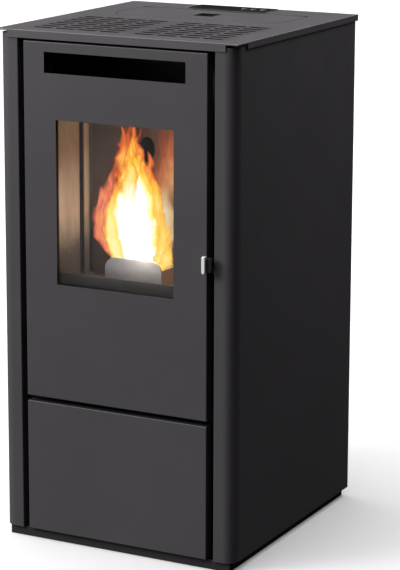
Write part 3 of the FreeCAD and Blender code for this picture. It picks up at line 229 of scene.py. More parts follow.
def cast_iron(name, c=(0.1, 0.098, 0.095), ash=0.25, pits=0.5, level=0.5):
    """Sand-cast skin: pitted, with pale ash in the low spots."""
    m = Mat(name)
    grit = m.noise(650, 4, 0.7)
    lump = m.noise(90, 4, 0.65)
    base = m.ramp(lump, [(0.25, shade(c, 1 - 0.7 * pits)), (0.6, c), (0.8, shade(c, 1 + 0.7 * pits))])
    dust = m.ramp(m.noise(28, 4, 0.7), [(0.5, 0.0), (0.78, ash)])
    m.colour(m.mix(dust, base, (0.4, 0.38, 0.35)))
    m.set(Metallic=0.15)
    m.rough(m.ramp(grit, [(0.3, 0.55), (0.7, 0.85)]))
    m.bump(m.math("ADD", grit, m.math("MULTIPLY", lump, 0.6)), pits, 0.0009)
    m.set(Specular_IOR_Level=level)
    return m.m


def fire_plate(name, stops, groove=None, grain=0.2):
    """Firebox sheet: grey and dark low down, tan in the middle, brown and darker near the top, streaked
    by the draught. stops: colours by height from the floor to the baffle. groove: the depth of
    a channel whose faces are painted near-black as painted shade; behind it the sheet is painted paler as painted
    light."""
    m = Mat(name)
    z = m.math("MULTIPLY", m.math("SUBTRACT", m.axis("Z"), 0.44), 3.0)
    wander = m.math("MULTIPLY", m.math("SUBTRACT", m.noise(16, 4, 0.6), 0.5), 0.3)
    body = m.ramp(m.math("ADD", z, wander, True), stops)
    streak = m.noise(34, 5, 0.65, m.mapped((1.0, 1.0, 0.14)))
    body = m.mix(1.0, body, m.ramp(streak, [(0.3, 0.72), (0.7, 1.22)]), "MULTIPLY")
    if groove:
        # painted light: behind the channel the sheet is painted about 1.6 times paler, for fire light that the rear
        # strip does not catch
        rear = m.math("MULTIPLY", m.math("ADD", m.axis("Y"), 0.099), 500.0, True)
        body = m.mix(rear, body, m.mix(1.0, body, (1.62, 1.66, 1.62), "MULTIPLY"))
        # painted shade: every face deeper than the groove depth is painted near-black
        deep = m.math("SUBTRACT", m.math("ABSOLUTE", m.axis("X")), groove)
        body = m.mix(m.math("MULTIPLY", deep, 900.0, True), body, (0.012, 0.01, 0.009))
    m.colour(body)
    m.set(Metallic=0.1)
    m.rough(m.ramp(m.noise(120, 3, 0.6), [(0.3, 0.42), (0.7, 0.68)]))
    m.bump(m.noise(300, 3, 0.6), grain, 0.0005)
    return m.m


def brushed(name, c, rough, direction=(1, 1, 60), metallic=1.0):
    m = Mat(name)
    line = m.noise(240, 3, 0.6, m.mapped(direction))
    m.colour(m.ramp(line, [(0.25, shade(c, 0.86)), (0.75, shade(c, 1.08))]))
    m.set(Metallic=metallic)
    m.rough(m.ramp(line, [(0.2, max(0.02, rough - 0.06)), (0.8, rough + 0.08)]))
    m.bump(line, 0.05, 0.0002)
    return m.m


def plastic(name, c, rough, grain=900, strength=0.06, coat=0.0, level=0.5):
    m = Mat(name)
    n = m.noise(grain, 2, 0.5)
    slow = m.noise(18, 3, 0.6)
    m.colour(m.ramp(slow, [(0.3, shade(c, 0.85)), (0.7, shade(c, 1.25))]))
    m.rough(m.ramp(slow, [(0.3, max(0.03, rough - 0.03)), (0.7, rough + 0.04)]))
    m.set(Coat_Weight=coat, Specular_IOR_Level=level)
    m.bump(n, strength, 0.0002)
    return m.m


# ------------------------------------------------------------------ materials

PAINT = (0.0442, 0.0402, 0.0446)
casing = powder_coat("casing_powder_coat", PAINT, 0.46)
# painted shade: the door and drawer front have their upward faces painted darker
front_coat = powder_coat("front_powder_coat", PAINT, 0.46, ledge=0.4)
# painted light: the top sheet and the hopper lid take the casing's paint made 12 % paler, for the stronger light that
# falls on the top
lit_top_coat = powder_coat("top_powder_coat", shade(PAINT, 1.12), 0.42, level=0.5, cuts=(0.87765, 0.87975))
lit_lid_coat = powder_coat("lid_powder_coat", shade(PAINT, 1.12), 0.42, level=0.5, cuts=(0.87815, 0.87975))
black_heat = powder_coat("black_heat_paint", (0.012, 0.012, 0.0125), 0.6, 0.2, 0.12)
plinth_coat = powder_coat("plinth_black", (0.014, 0.0135, 0.014), 0.55, 0.15, 0.1)
zinc = galvanised("galvanised_sheet")
zinc_dark = galvanised("galvanised_duct", (0.3, 0.31, 0.32), 0.45)
zinc_rear = galvanised("galvanised_rear_panel", (0.36, 0.352, 0.362), 0.5)
# painted shade: the hopper's outer front face, seen through the air outlet duct, is painted black
zinc_bin = galvanised("galvanised_bin", shaded_front=0.0366)
iron = cast_iron("cast_iron_liner", (0.058, 0.047, 0.041), 0.05)
iron_pale = cast_iron("cast_iron_pot", (0.42, 0.415, 0.43), 0.04, 0.12)
# the side walls carry the painted-shade channel and the painted-light strip behind it
side_plate = fire_plate(
    "firebox_side_plate",
    [(0.0, (0.05, 0.046, 0.045)), (0.16, (0.064, 0.063, 0.062)), (0.24, (0.15, 0.145, 0.125)), (0.34, (0.225, 0.2, 0.166)), (0.47, (0.2, 0.184, 0.148)), (0.56, (0.18, 0.158, 0.124)), (0.66, (0.132, 0.107, 0.077)), (0.82, (0.152, 0.14, 0.1)), (1.0, (0.13, 0.115, 0.085))],
    0.1364,
)
back_plate = fire_plate(
    "firebox_back_plate",
    [(0.0, (0.05, 0.046, 0.045)), (0.2, (0.07, 0.062, 0.057)), (0.42, (0.17, 0.132, 0.1)), (0.7, (0.14, 0.108, 0.082)), (1.0, (0.09, 0.07, 0.055))],
)
floor_plate = fire_plate(
    "firebox_floor_plate",
    [(0.0, (0.06, 0.054, 0.055)), (0.3, (0.06, 0.055, 0.055)), (0.6, (0.05, 0.045, 0.045)), (1.0, (0.04, 0.036, 0.035))],
    grain=0.06,
)
# near-black: soot in the pellet chute, and painted shade in the chute and the air outlet duct so their openings read
# black
soot_and_shade_black = cast_iron("sooted_and_shaded_steel", (0.004, 0.0037, 0.0035), 0.0, 0.3, 0.05)
steel = brushed("turned_steel", (0.52, 0.52, 0.53), 0.3, (60, 1, 60))
alloy = brushed("cast_alloy", (0.5, 0.51, 0.52), 0.42, (1, 1, 1))
gloss_black = plastic("gloss_black_plastic", (0.009, 0.009, 0.0095), 0.16, 500, 0.02, 0.4)
matt_black = plastic("matt_black_plastic", (0.02, 0.02, 0.0205), 0.5, 1200, 0.15)
display = plastic("display_cover", (0.006, 0.007, 0.009), 0.07, 300, 0.005, 0.8)
latch_black = plastic("latch_black_plastic", (0.006, 0.0055, 0.006), 0.55, 1200, 0.12, level=0.12)
button_cap = plastic("button_cap", (0.03, 0.03, 0.031), 0.35, 900, 0.08)
silicone = plastic("silicone_seal", (0.03, 0.03, 0.03), 0.65, 700, 0.1)
icon_ink = plastic("icon_print", (0.55, 0.55, 0.54), 0.5, 900, 0.02)

m = Mat("chrome_plate")
m.colour(m.ramp(m.noise(35, 2, 0.5), [(0.3, (0.84, 0.835, 0.84)), (0.7, (0.92, 0.915, 0.92))]))
# painted reflection: the chrome is only 45 % metallic, so its pale colour also shows as a diffuse brightness standing
# in for the bright reflection of real chrome
m.set(Metallic=0.45, Specular_IOR_Level=0.8)
m.rough(m.ramp(m.noise(160, 3, 0.6), [(0.3, 0.1), (0.7, 0.18)]))
m.bump(m.noise(900, 2, 0.5), 0.02, 0.0001)
chrome = m.m

m = Mat("fire_glass")
m.set(Transmission_Weight=1.0, IOR=1.2)
haze = m.noise(16, 4, 0.6)
m.colour(m.ramp(haze, [(0.3, (0.97, 0.97, 0.965)), (0.75, (0.9, 0.895, 0.885))]))
m.rough(m.ramp(haze, [(0.35, 0.0), (0.8, 0.02)]))
fire_glass = m.m

m = Mat("rope_braid")
weave = m.node("ShaderNodeTexWave", wave_type="BANDS", bands_direction="DIAGONAL")
weave.inputs["Scale"].default_value = 120
weave.inputs["Distortion"].default_value = 1.5
weave.inputs["Detail"].default_value = 2
m.link(m.place(), weave.inputs["Vector"])
fuzz = m.noise(900, 3, 0.7)
m.colour(m.mix(m.ramp(fuzz, [(0.3, 0.0), (0.7, 0.5)]), m.ramp(weave.outputs["Fac"], [(0.2, (0.12, 0.115, 0.11)), (0.8, (0.34, 0.33, 0.31))]), (0.2, 0.19, 0.18)))
m.set(Roughness=0.95, Sheen_Weight=0.2)
m.bump(m.math("ADD", weave.outputs["Fac"], m.math("MULTIPLY", fuzz, 0.4)), 0.7, 0.001)
braid = m.m

m = Mat("circuit_board")
track = m.node("ShaderNodeTexBrick")
track.inputs["Scale"].default_value = 55
track.inputs["Color1"].default_value = (0.01, 0.075, 0.03, 1)
track.inputs["Color2"].default_value = (0.014, 0.1, 0.04, 1)
track.inputs["Mortar"].default_value = (0.05, 0.2, 0.08, 1)
track.inputs["Mortar Size"].default_value = 0.012
m.link(m.mapped((1, 1, 1), (0, math.pi / 2, 0)), track.inputs["Vector"])
x_in = m.ramp(m.math("MULTIPLY", m.math("SUBTRACT", 0.2055, m.axis("X")), 2000.0, True), [(0.0, 0.0), (1.0, 1.0)])
m.colour(m.mix(x_in, track.outputs["Color"], (0.03, 0.03, 0.034)))
m.rough(m.ramp(m.noise(200, 2, 0.5), [(0.3, 0.3), (0.7, 0.5)]))
board = m.m

LOOKS = {
    "plinth_base": plinth_coat,
    "left_side_panel": casing,
    "right_side_panel": casing,
    "rear_panel": zinc_rear,
    "front_frame": black_heat,
    "top_cover": lit_top_coat,
    "door_panel": front_coat,
    "door_inner_frame": black_heat,
    "door_glass": fire_glass,
    "glass_clips": zinc,
    "door_rope_gasket": braid,
    "door_hinge_knuckles": black_heat,
    "door_frame_screws": steel,
    "latch_pivot": steel,
    "latch_lever": latch_black,
    "latch_grip": chrome,
    "door_keeper": steel,
    "door_hinge_brackets": black_heat,
    "drawer_front": front_coat,
    "ash_drawer_box": zinc,
    "drawer_runners": zinc,
    "firebox_left_wall": side_plate,
    "firebox_right_wall": side_plate,
    "firebox_back_wall": back_plate,
    "firebox_floor": floor_plate,
    "firebox_back_liner": iron,
    "flame_baffle": iron,
    "burn_pot": iron_pale,
    "burn_pot_holder": zinc_dark,
    "igniter": steel,
    "ash_chute": zinc_dark,
    # near-black: soot, and painted shade so the chute and the air slot read black
    "pellet_chute": soot_and_shade_black,
    "air_outlet_duct": soot_and_shade_black,
    "smoke_duct": zinc_dark,
    "smoke_fan_housing": zinc_dark,
    "smoke_fan_motor": alloy,
    "smoke_fan_impeller": alloy,
    "flue_spigot": black_heat,
    "air_intake_pipe": zinc,
    "room_fan_housing": zinc,
    "room_fan_motor": alloy,
    "room_fan_impeller": alloy,
    "hopper": zinc_bin,
    "hopper_guard": steel,
    "auger_tube": zinc_dark,
    "auger_screw": steel,
    "auger_gearmotor": alloy,
    "hopper_lid": lit_lid_coat,
    "lid_finger_pull": gloss_black,
    "lid_gasket": silicone,
    "lid_hinge_brackets": black_heat,
    "control_panel": gloss_black,
    "display_window": display,
    "button_power": button_cap,
    "button_down": button_cap,
    "button_up": button_cap,
    "control_board": board,
    "power_inlet": matt_black,
    "rocker_switch": matt_black,
    "rear_panel_screws": steel,
}
for name, look in LOOKS.items():
    o = NODES[name]
    o.data.materials.clear()
    o.data.materials.append(look)

# ------------------------------------------------------------------ pieces


def piece(name, bm, material, body, smooth=True):
    me = bpy.data.meshes.new(name)
    bm.normal_update()
    bm.to_mesh(me)
    bm.free()
    for f in me.polygons:
        f.use_smooth = smooth
    o = bpy.data.objects.new(name, me)
    scene.collection.objects.link(o)
    for mt in material if isinstance(material, (list, tuple)) else [material]:
        me.materials.append(mt)
    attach(o, body)
    return o


SALMON = [(0.0, (0.62, 0.12, 0.065)), (0.3, (0.74, 0.16, 0.09)), (0.6, (0.9, 0.23, 0.12)), (1.0, (1.0, 0.42, 0.13))]
EMBER_RED = [(0.0, (0.5, 0.07, 0.018)), (0.3, (0.62, 0.09, 0.022)), (0.6, (0.85, 0.2, 0.04)), (1.0, (1.0, 0.5, 0.08))]
PALE = [(0.0, (0.42, 0.22, 0.09)), (0.35, (0.6, 0.43, 0.2)), (0.7, (0.76, 0.66, 0.42)), (1.0, (0.86, 0.8, 0.58))]
HAZE = [(0.0, (0.1, 0.03, 0.015)), (0.4, (0.26, 0.062, 0.026)), (0.75, (0.48, 0.15, 0.06)), (1.0, (0.6, 0.3, 0.14))]
AMBER = [(0.0, (0.75, 0.13, 0.02)), (0.16, (0.88, 0.2, 0.022)), (0.32, (0.98, 0.42, 0.035)), (0.5, (1.0, 0.62, 0.06)), (0.72, (1.0, 0.75, 0.15)), (1.0, (1.0, 0.88, 0.42))]
AMBER_FRONT = [(0.0, (1.0, 0.58, 0.06)), (0.3, (1.0, 0.68, 0.1)), (0.6, (1.0, 0.78, 0.17)), (1.0, (1.0, 0.9, 0.42))]
AMBER_DEEP = [(0.0, (0.95, 0.42, 0.035)), (0.35, (1.0, 0.55, 0.06)), (0.7, (1.0, 0.68, 0.12)), (1.0, (1.0, 0.8, 0.28))]
WHITE_HOT = [(0.0, (1.0, 0.5, 0.05)), (0.14, (1.0, 0.64, 0.09)), (0.28, (1.0, 0.78, 0.22)), (0.42, (1.0, 0.92, 0.56)), (0.56, (1.0, 1.0, 0.97))]


def flame_material(name, stops, gain, span, ragged=0.5, root=9.0, fade=2.2):
    """Glow by heat: hot along the middle and the root, cooler and thinner to the edges and tip,
    where it fades out. span: the heat where the flame starts to show and where it hides what is
    behind it. root: how soon it comes in above its lower end. fade: how late it cools upwards."""
    m = Mat(name)
    u = m.axis("X", "UV")
    v = m.axis("Y", "UV")
    edge = m.math("ABSOLUTE", m.math("SUBTRACT", m.math("MULTIPLY", u, 2.0), 1.0))
    across = m.math("SUBTRACT", 1.0, m.math("POWER", edge, 1.6))
    along = m.math("SUBTRACT", 1.0, m.math("POWER", v, fade))
    inside = m.math("MULTIPLY", m.math("MULTIPLY", across, 2.6, True), m.math("MULTIPLY", m.math("SUBTRACT", 1.0, v), 6.0, True))
    foot = m.math("MULTIPLY", v, root, True)
    lick = m.math("SUBTRACT", m.noise(32, 3, 0.6, m.mapped((1.5, 0.6, 0.6)), 1.0), 0.5)
    fine = m.math("SUBTRACT", m.noise(80, 3, 0.6, m.mapped((1.5, 0.6, 0.35)), 0.6), 0.5)
    wave = m.math("ADD", m.math("MULTIPLY", lick, ragged * 1.8), m.math("MULTIPLY", fine, ragged * 0.8))
    heat = m.math("MULTIPLY", across, m.math("ADD", m.math("MULTIPLY", along, 0.88), 0.16))
    heat = m.math("ADD", heat, m.math("MULTIPLY", wave, inside), True)
    m.link(m.ramp(heat, stops), m.p.inputs["Emission Color"])
    m.set(Emission_Strength=gain, Roughness=1.0, Specular_IOR_Level=0.0)
    m.colour(m.ramp(heat, [(0.0, (0.02, 0.006, 0.002)), (1.0, (0.03, 0.02, 0.01))]))
    clear = m.ramp(heat, [(span[0], 0.0), (span[1], span[2])], "EASE")
    m.link(m.math("MULTIPLY", clear, m.ramp(foot, [(0.0, 0.2 if root > 5 else 0.0), (1.0, 1.0)], "EASE"), True), m.p.inputs["Alpha"])
    return m.m


def tongue(name, spine, widths, depth, material, seed):
    """A lens-shaped lick of flame. spine: points from root to tip; widths: half widths there."""
    rows, cols = 34, 13
    bm = bmesh.new()
    uv = bm.loops.layers.uv.new("flame")

    def at(table, t):
        k = t * (len(table) - 1)
        i = min(int(k), len(table) - 2)
        f = k - i
        f = f * f * (3 - 2 * f)
        return table[i] * (1 - f) + table[i + 1] * f

    pts = [Vector(p) for p in spine]
    verts = {}
    for side in (-1, 1):
        for j in range(rows + 1):
            t = j / rows
            c = at(pts, t)
            w = at(widths, t)
            sway = noise.noise(Vector((seed, t * 4.0, 0.3))) * 0.012 * t
            for i in range(cols + 1):
                s = -1 + 2 * i / cols
                rag = 1 + 0.2 * noise.noise(Vector((seed * 1.7 + s * 0.8, t * 6.0, 2.0)))
                rag += 0.16 * noise.noise(Vector((seed * 3.1 + s * 0.6, t * 15.0, 5.0)))
                bulge = depth * (1 - s * s) * math.sin(math.pi * min(1, 0.25 + 0.75 * t)) * side
                if i in (0, cols) or j == rows:
                    if (0, j, i) in verts:
                        continue
                    p = c + Vector((s * w * rag + sway, 0, 0))
                    verts[(0, j, i)] = bm.verts.new(p)
                else:
                    p = c + Vector((s * w * rag + sway, bulge if j else bulge, 0))
                    verts[(side, j, i)] = bm.verts.new(p)

    def get(side, j, i):
        return verts[(0, j, i)] if (0, j, i) in verts else verts[(side, j, i)]

    def face(ids, coords):
        seen = []
        cc = []
        for vtx, c in zip(ids, coords):
            if vtx not in seen:
                seen.append(vtx)
                cc.append(c)
        if len(seen) < 3:
            return
        f = bm.faces.new(seen)
        for loop, c in zip(f.loops, cc):
            loop[uv].uv = c

    for side in (-1, 1):
        for j in range(rows):
            for i in range(cols):
                ids = [get(side, j, i), get(side, j, i + 1), get(side, j + 1, i + 1), get(side, j + 1, i)]
                cc = [(i / cols, j / rows), ((i + 1) / cols, j / rows), ((i + 1) / cols, (j + 1) / rows), (i / cols, (j + 1) / rows)]
                if side > 0:
                    ids, cc = ids[::-1], cc[::-1]
                face(ids, cc)
    for i in range(cols):
        ids = [get(-1, 0, i), get(1, 0, i), get(1, 0, i + 1), get(-1, 0, i + 1)]
        cc = [(i / cols, 0), (i / cols, 0), ((i + 1) / cols, 0), ((i + 1) / cols, 0)]
        face(ids, cc)
    bmesh.ops.recalc_face_normals(bm, faces=bm.faces)
    if bm.calc_volume(signed=True) < 0:
        bmesh.ops.reverse_faces(bm, faces=bm.faces)
    o = piece(name, bm, material, "casing")
    o.visible_shadow = False
    return o


white_hot = flame_material("flame_white_hot", WHITE_HOT, 1.3, (0.05, 0.5, 0.97), 0.35)
amber_front = flame_material("flame_amber_front", AMBER_FRONT, 1.12, (0.05, 0.7, 0.92), 0.7)
amber_deep = flame_material("flame_amber_deep", AMBER_DEEP, 1.0, (0.05, 0.7, 0.92), 0.8)
amber = flame_material("flame_amber", AMBER, 1.0, (0.08, 0.42, 0.96), 0.85, fade=1.7)
amber_high = flame_material("flame_amber_high", AMBER, 1.0, (0.06, 0.42, 0.96), 0.8, 2.4, 1.1)
red = flame_material("flame_red", SALMON, 0.95, (0.07, 0.6, 0.92), 0.9)
red_high = flame_material("flame_red_high", EMBER_RED, 0.95, (0.07, 0.6, 0.94), 0.9, 2.2)
pale = flame_material("flame_pale_glow", PALE, 0.95, (0.02, 0.5, 0.8), 0.3, 3.0)
haze = flame_material("flame_haze", HAZE, 0.95, (0.02, 0.6, 0.85), 0.35, 2.0)
FLAMES = [
    # name, material, depth, seed, (x, y, z, half width) from root to tip, in mm
    ("flame_veil_left", red, 3, 6.6, [(-58, -114, 482, 22), (-80, -114, 515, 34), (-87, -114, 552, 32), (-80, -114, 596, 22), (-72, -114, 640, 3)]),
    ("flame_veil_top", red_high, 3, 14.4, [(-32, -114, 560, 36), (-40, -114, 632, 34), (-38, -114, 680, 24), (-38, -114, 734, 4)]),
    ("flame_glow_right", pale, 3, 27.4, [(22, -110, 486, 18), (26, -110, 525, 21), (28, -110, 575, 22), (30, -110, 645, 6)]),
    ("flame_veil_right", haze, 3, 21.5, [(40, -114, 575, 34), (42, -114, 620, 44), (40, -114, 665, 34), (36, -114, 735, 22)]),
    ("flame_mantle", amber, 3, 3.7, [(-12, -122, 472, 60), (-12, -122, 510, 61), (-13, -122, 556, 58), (-15, -122, 602, 47), (-22, -122, 637, 33), (-26, -122, 667, 18), (-28, -122, 700, 3)]),
    ("flame_lick_a", red_high, 2, 31.0, [(-56, -118, 560, 9), (-62, -118, 595, 14), (-56, -118, 622, 11), (-62, -118, 654, 1.5)]),
    ("flame_lick_b", red, 2, 37.0, [(-74, -118, 505, 9), (-82, -118, 535, 14), (-76, -118, 568, 11), (-82, -118, 600, 1.5)]),
    ("flame_lick_c", red_high, 2, 41.0, [(-50, -118, 625, 9), (-53, -118, 654, 13), (-47, -118, 680, 10), (-50, -118, 716, 1.5)]),
    ("flame_lick_d", red_high, 2, 47.0, [(-20, -118, 630, 10), (-17, -118, 660, 13), (-20, -118, 684, 9), (-16, -118, 712, 1.5)]),
    ("flame_lick_e", red_high, 2, 53.0, [(2, -118, 590, 10), (5, -118, 622, 14), (1, -118, 646, 10), (3, -118, 674, 1.5)]),
    ("flame_body", white_hot, 4, 1.3, [(-16, -131, 470, 45), (-22, -131, 512, 57), (-23, -131, 558, 55), (-22, -131, 598, 41), (-24, -131, 630, 25), (-27, -131, 660, 4)]),
    ("flame_right", amber_deep, 3, 8.2, [(26, -140, 474, 16), (40, -140, 500, 20), (40, -140, 532, 17), (34, -140, 568, 13), (26, -140, 606, 10), (18, -140, 642, 2)]),
    ("flame_low_right", amber_deep, 3, 17.2, [(32, -148, 474, 12), (48, -149, 490, 16), (54, -149, 512, 12), (57, -149, 545, 2)]),
    ("flame_crown", amber_high, 3, 4.1, [(-22, -140, 580, 15), (-24, -140, 622, 17), (-20, -140, 650, 11), (-23, -140, 682, 2)]),
    ("flame_left", amber_front, 3, 11.9, [(-44, -140, 484, 14), (-56, -140, 522, 17), (-59, -140, 562, 14), (-54, -140, 616, 2)]),
]
for name, look, depth, seed, rows_ in FLAMES:
    tongue(
        name,
        [(x * 0.001, y * 0.001, z * 0.001) for x, y, z, w in rows_],
        [w * 0.001 for x, y, z, w in rows_],
        depth * 0.001,
        look,
        seed,
    )


# Pellets: short broken rods of pressed wood, glowing or charred in the pot, fresh in the hopper.
def pellet(bm, at, axis, length, r, material_index=0, sides=8):
    rot = Vector((0, 0, 1)).rotation_difference(axis).to_matrix().to_4x4()
    mat4 = Matrix.Translation(at) @ rot
    rings = []
    for k, (z, s) in enumerate(((-0.5, 0.82), (-0.44, 1.0), (0.44, 1.0), (0.5, 0.82))):
        ring = []
        for i in range(sides):
            a = 2 * math.pi * i / sides
            jag = 0.04 * length * noise.noise(Vector((at.x * 900 + i, at.y * 900, k))) if k in (0, 3) else 0
            ring.append(bm.verts.new(mat4 @ Vector((r * s * math.cos(a), r * s * math.sin(a), z * length + jag))))
        rings.append(ring)
    faces = [bm.faces.new(rings[0][::-1]), bm.faces.new(rings[-1])]
    for a, b in zip(rings, rings[1:]):
        for i in range(sides):
            j = (i + 1) % sides
            faces.append(bm.faces.new((a[i], a[j], b[j], b[i])))
    for f in faces:
        f.material_index = material_index


def tilt(flat=1.0):
    a = rng.uniform(0, 2 * math.pi)
    return Vector((math.cos(a), math.sin(a), rng.uniform(-0.5, 0.5) * flat)).normalized()


m = Mat("glowing_char")
crack = m.noise(260, 4, 0.7)
m.colour(m.ramp(m.noise(500, 3, 0.6), [(0.3, (0.01, 0.008, 0.007)), (0.75, (0.09, 0.075, 0.065))]))
m.link(m.ramp(crack, [(0.42, (0.0, 0.0, 0.0)), (0.55, (0.9, 0.12, 0.01)), (0.72, (1.0, 0.5, 0.08))]), m.p.inputs["Emission Color"])
m.set(Emission_Strength=3.0, Roughness=0.9)
m.bump(crack, 0.6, 0.001)
ember = m.m

m = Mat("pressed_wood")
rings_ = m.noise(420, 4, 0.65, m.mapped((1, 1, 0.3)))
m.colour(m.ramp(rings_, [(0.25, (0.3, 0.19, 0.1)), (0.55, (0.46, 0.31, 0.17)), (0.8, (0.58, 0.42, 0.25))]))
m.set(Roughness=0.75)
m.bump(rings_, 0.4, 0.0006)
wood = m.m

bm = bmesh.new()
for k in range(90):
    r = 0.0029
    x, y = rng.uniform(-0.036, 0.036), rng.uniform(-0.155, -0.111)
    h = 0.437 + 0.018 * rng.random() + 0.012 * max(0, 1 - (x / 0.036) ** 2)
    d = tilt(0.6)
    half = 0.006
    x = max(-0.041 + half + r, min(0.041 - half - r, x))
    y = max(-0.159 + half + r, min(-0.107 - half - r, y))
    pellet(bm, Vector((x, y, h)), d, rng.uniform(0.007, 0.012), r)
piece("ember_bed", bm, ember, "casing", smooth=False)

bm = bmesh.new()
count = 620
for k in range(count):
    x = rng.uniform(-0.143, 0.143)
    y = rng.uniform(0.047, 0.147)
    z = 0.781 + 0.012 * noise.noise(Vector((x * 14, y * 14, 0))) + rng.uniform(-0.004, 0.004)
    pellet(bm, Vector((x, y, z)), tilt(0.7), rng.uniform(0.010, 0.018), 0.003)
grid = 26
rows = []
for j in range(13):
    row = []
    for i in range(grid + 1):
        x = -0.1525 + 0.305 * i / grid
        y = 0.0385 + 0.116 * j / 12
        z = 0.776 + 0.012 * noise.noise(Vector((x * 14, y * 14, 0)))
        row.append(bm.verts.new((x, y, z)))
    rows.append(row)
low = [[bm.verts.new((v.co.x, v.co.y, 0.755)) for v in row] for row in rows]
for j in range(12):
    for i in range(grid):
        bm.faces.new((rows[j][i], rows[j][i + 1], rows[j + 1][i + 1], rows[j + 1][i]))
        bm.faces.new((low[j][i], low[j + 1][i], low[j + 1][i + 1], low[j][i + 1]))
for i in range(grid):
    bm.faces.new((rows[0][i], low[0][i], low[0][i + 1], rows[0][i + 1]))
    bm.faces.new((rows[12][i + 1], low[12][i + 1], low[12][i], rows[12][i]))
for j in range(12):
    bm.faces.new((rows[j + 1][0], low[j + 1][0], low[j][0], rows[j][0]))
    bm.faces.new((rows[j][grid], low[j][grid], low[j + 1][grid], rows[j + 1][grid]))
piece("pellet_fill", bm, wood, "casing", smooth=False)


# Rope seal on the back of the door: a braided cord, pressed oval, laid round the window in one
# closed loop with rounded corners.
def rope_path(hx, z0, z1, r, step):
    """Points and outward directions round a rectangle with round corners, in the door's plane."""
    out = []
    corners = ((hx - r, z0 + r, -90), (hx - r, z1 - r, 0), (r - hx, z1 - r, 90), (r - hx, z0 + r, 180))
    for k, (cx, cz, a0) in enumerate(corners):
        n = max(6, int(r * math.pi / 2 / step))
        for i in range(n + 1):
            a = math.radians(a0 + 90 * i / n)
            out.append((cx + r * math.cos(a), cz + r * math.sin(a), math.cos(a), math.sin(a)))
        nx, nz, na = corners[(k + 1) % 4]
        a = math.radians(a0 + 90)
        x0, z_0 = cx + r * math.cos(a), cz + r * math.sin(a)
        x1, z_1 = nx + r * math.cos(a), nz + r * math.sin(a)
        m_ = int(math.hypot(x1 - x0, z_1 - z_0) / step)
        for i in range(1, m_):
            f = i / m_
            out.append((x0 + (x1 - x0) * f, z_0 + (z_1 - z_0) * f, math.cos(a), math.sin(a)))
    return out


lo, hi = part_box("door_rope_gasket")
mid_y, deep, wide = (lo[1] + hi[1]) / 2, (hi[1] - lo[1]) / 2, 0.006
path_pts = rope_path(hi[0] - wide, lo[2] + wide, hi[2] - wide, 0.016, 0.0024)
around = 20
lay = round(len(path_pts) / 7.0)
bm = bmesh.new()
loops = []
for k, (x, z, nx, nz) in enumerate(path_pts):
    w = 2 * math.pi * lay * k / len(path_pts)
    ring = []
    for i in range(around):
        a = 2 * math.pi * i / around
        ca, sa = math.cos(a), math.sin(a)
        ca = math.copysign(abs(ca) ** 0.8, ca)
        sa = math.copysign(abs(sa) ** 0.8, sa)
        knit = max(math.cos(4 * a + w), math.cos(4 * a - w))
        fluff = noise.noise(Vector((x * 400, z * 400, a)))
        g_ = 0.93 + 0.055 * knit + 0.012 * fluff
        ring.append(bm.verts.new((x + nx * wide * ca * g_, mid_y + deep * sa * g_, z + nz * wide * ca * g_)))
    loops.append(ring)
for k in range(len(loops)):
    p0, p1 = loops[k], loops[(k + 1) % len(loops)]
    for i in range(around):
        j = (i + 1) % around
        bm.faces.new((p0[i], p0[j], p1[j], p1[i]))
bmesh.ops.recalc_face_normals(bm, faces=bm.faces)
rope = piece("door_rope_braid", bm, braid, "door")
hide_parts("door_rope_gasket")


# Printed marks on the control bar, one by each button: a lower, a higher and a power mark.
def prism(bm, pts, z0, z1):
    low_ = [bm.verts.new((x, y, z0)) for x, y in pts]
    top_ = [bm.verts.new((x, y, z1)) for x, y in pts]
    bm.faces.new(low_[::-1])
    bm.faces.new(top_)
    for i in range(len(pts)):
        j = (i + 1) % len(pts)
        bm.faces.new((low_[i], low_[j], top_[j], top_[i]))


bm = bmesh.new()
bar_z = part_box("control_panel")[1][2]
z0, z1 = bar_z - 0.0001, bar_z + 0.00006
for name, way_ in (("button_down", -1), ("button_up", 1), ("button_power", 0)):
    lo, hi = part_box(name)
    cx, cy, u = (lo[0] + hi[0]) / 2, (lo[1] + hi[1]) / 2 - 0.0098, 0.001
    if way_:
        prism(bm, [(cx - 1.9 * u, cy - 1.0 * u * way_), (cx, cy + 1.5 * u * way_), (cx + 1.9 * u, cy - 1.0 * u * way_), (cx, cy - 0.3 * u * way_)][::way_ * -1], z0, z1)
    else:
        arc = [math.radians(125 + 290 * i / 22) for i in range(23)]
        ring = [(cx + 1.9 * u * math.cos(a), cy + 1.9 * u * math.sin(a)) for a in arc]
        ring += [(cx + 1.45 * u * math.cos(a), cy + 1.45 * u * math.sin(a)) for a in reversed(arc)]
        prism(bm, ring, z0, z1)
        prism(bm, [(cx - 0.25 * u, cy + 0.4 * u), (cx + 0.25 * u, cy + 0.4 * u), (cx + 0.25 * u, cy + 2.3 * u), (cx - 0.25 * u, cy + 2.3 * u)], z0, z1)
bmesh.ops.recalc_face_normals(bm, faces=bm.faces)
piece("control_marks", bm, icon_ink, "casing", smooth=False)

# ------------------------------------------------------------------ stage

me = bpy.data.meshes.new("studio_floor")
me.from_pydata([(-30, -30, 0), (30, -30, 0), (30, 30, 0), (-30, 30, 0)], [], [(0, 1, 2, 3)])
floor = bpy.data.objects.new("studio_floor", me)
floor.location.z = -0.0005
scene.collection.objects.link(floor)
m = Mat("studio_floor_paint")
away = m.node("ShaderNodeVectorMath", operation="LENGTH")
m.link(m.place(), away.inputs[0])
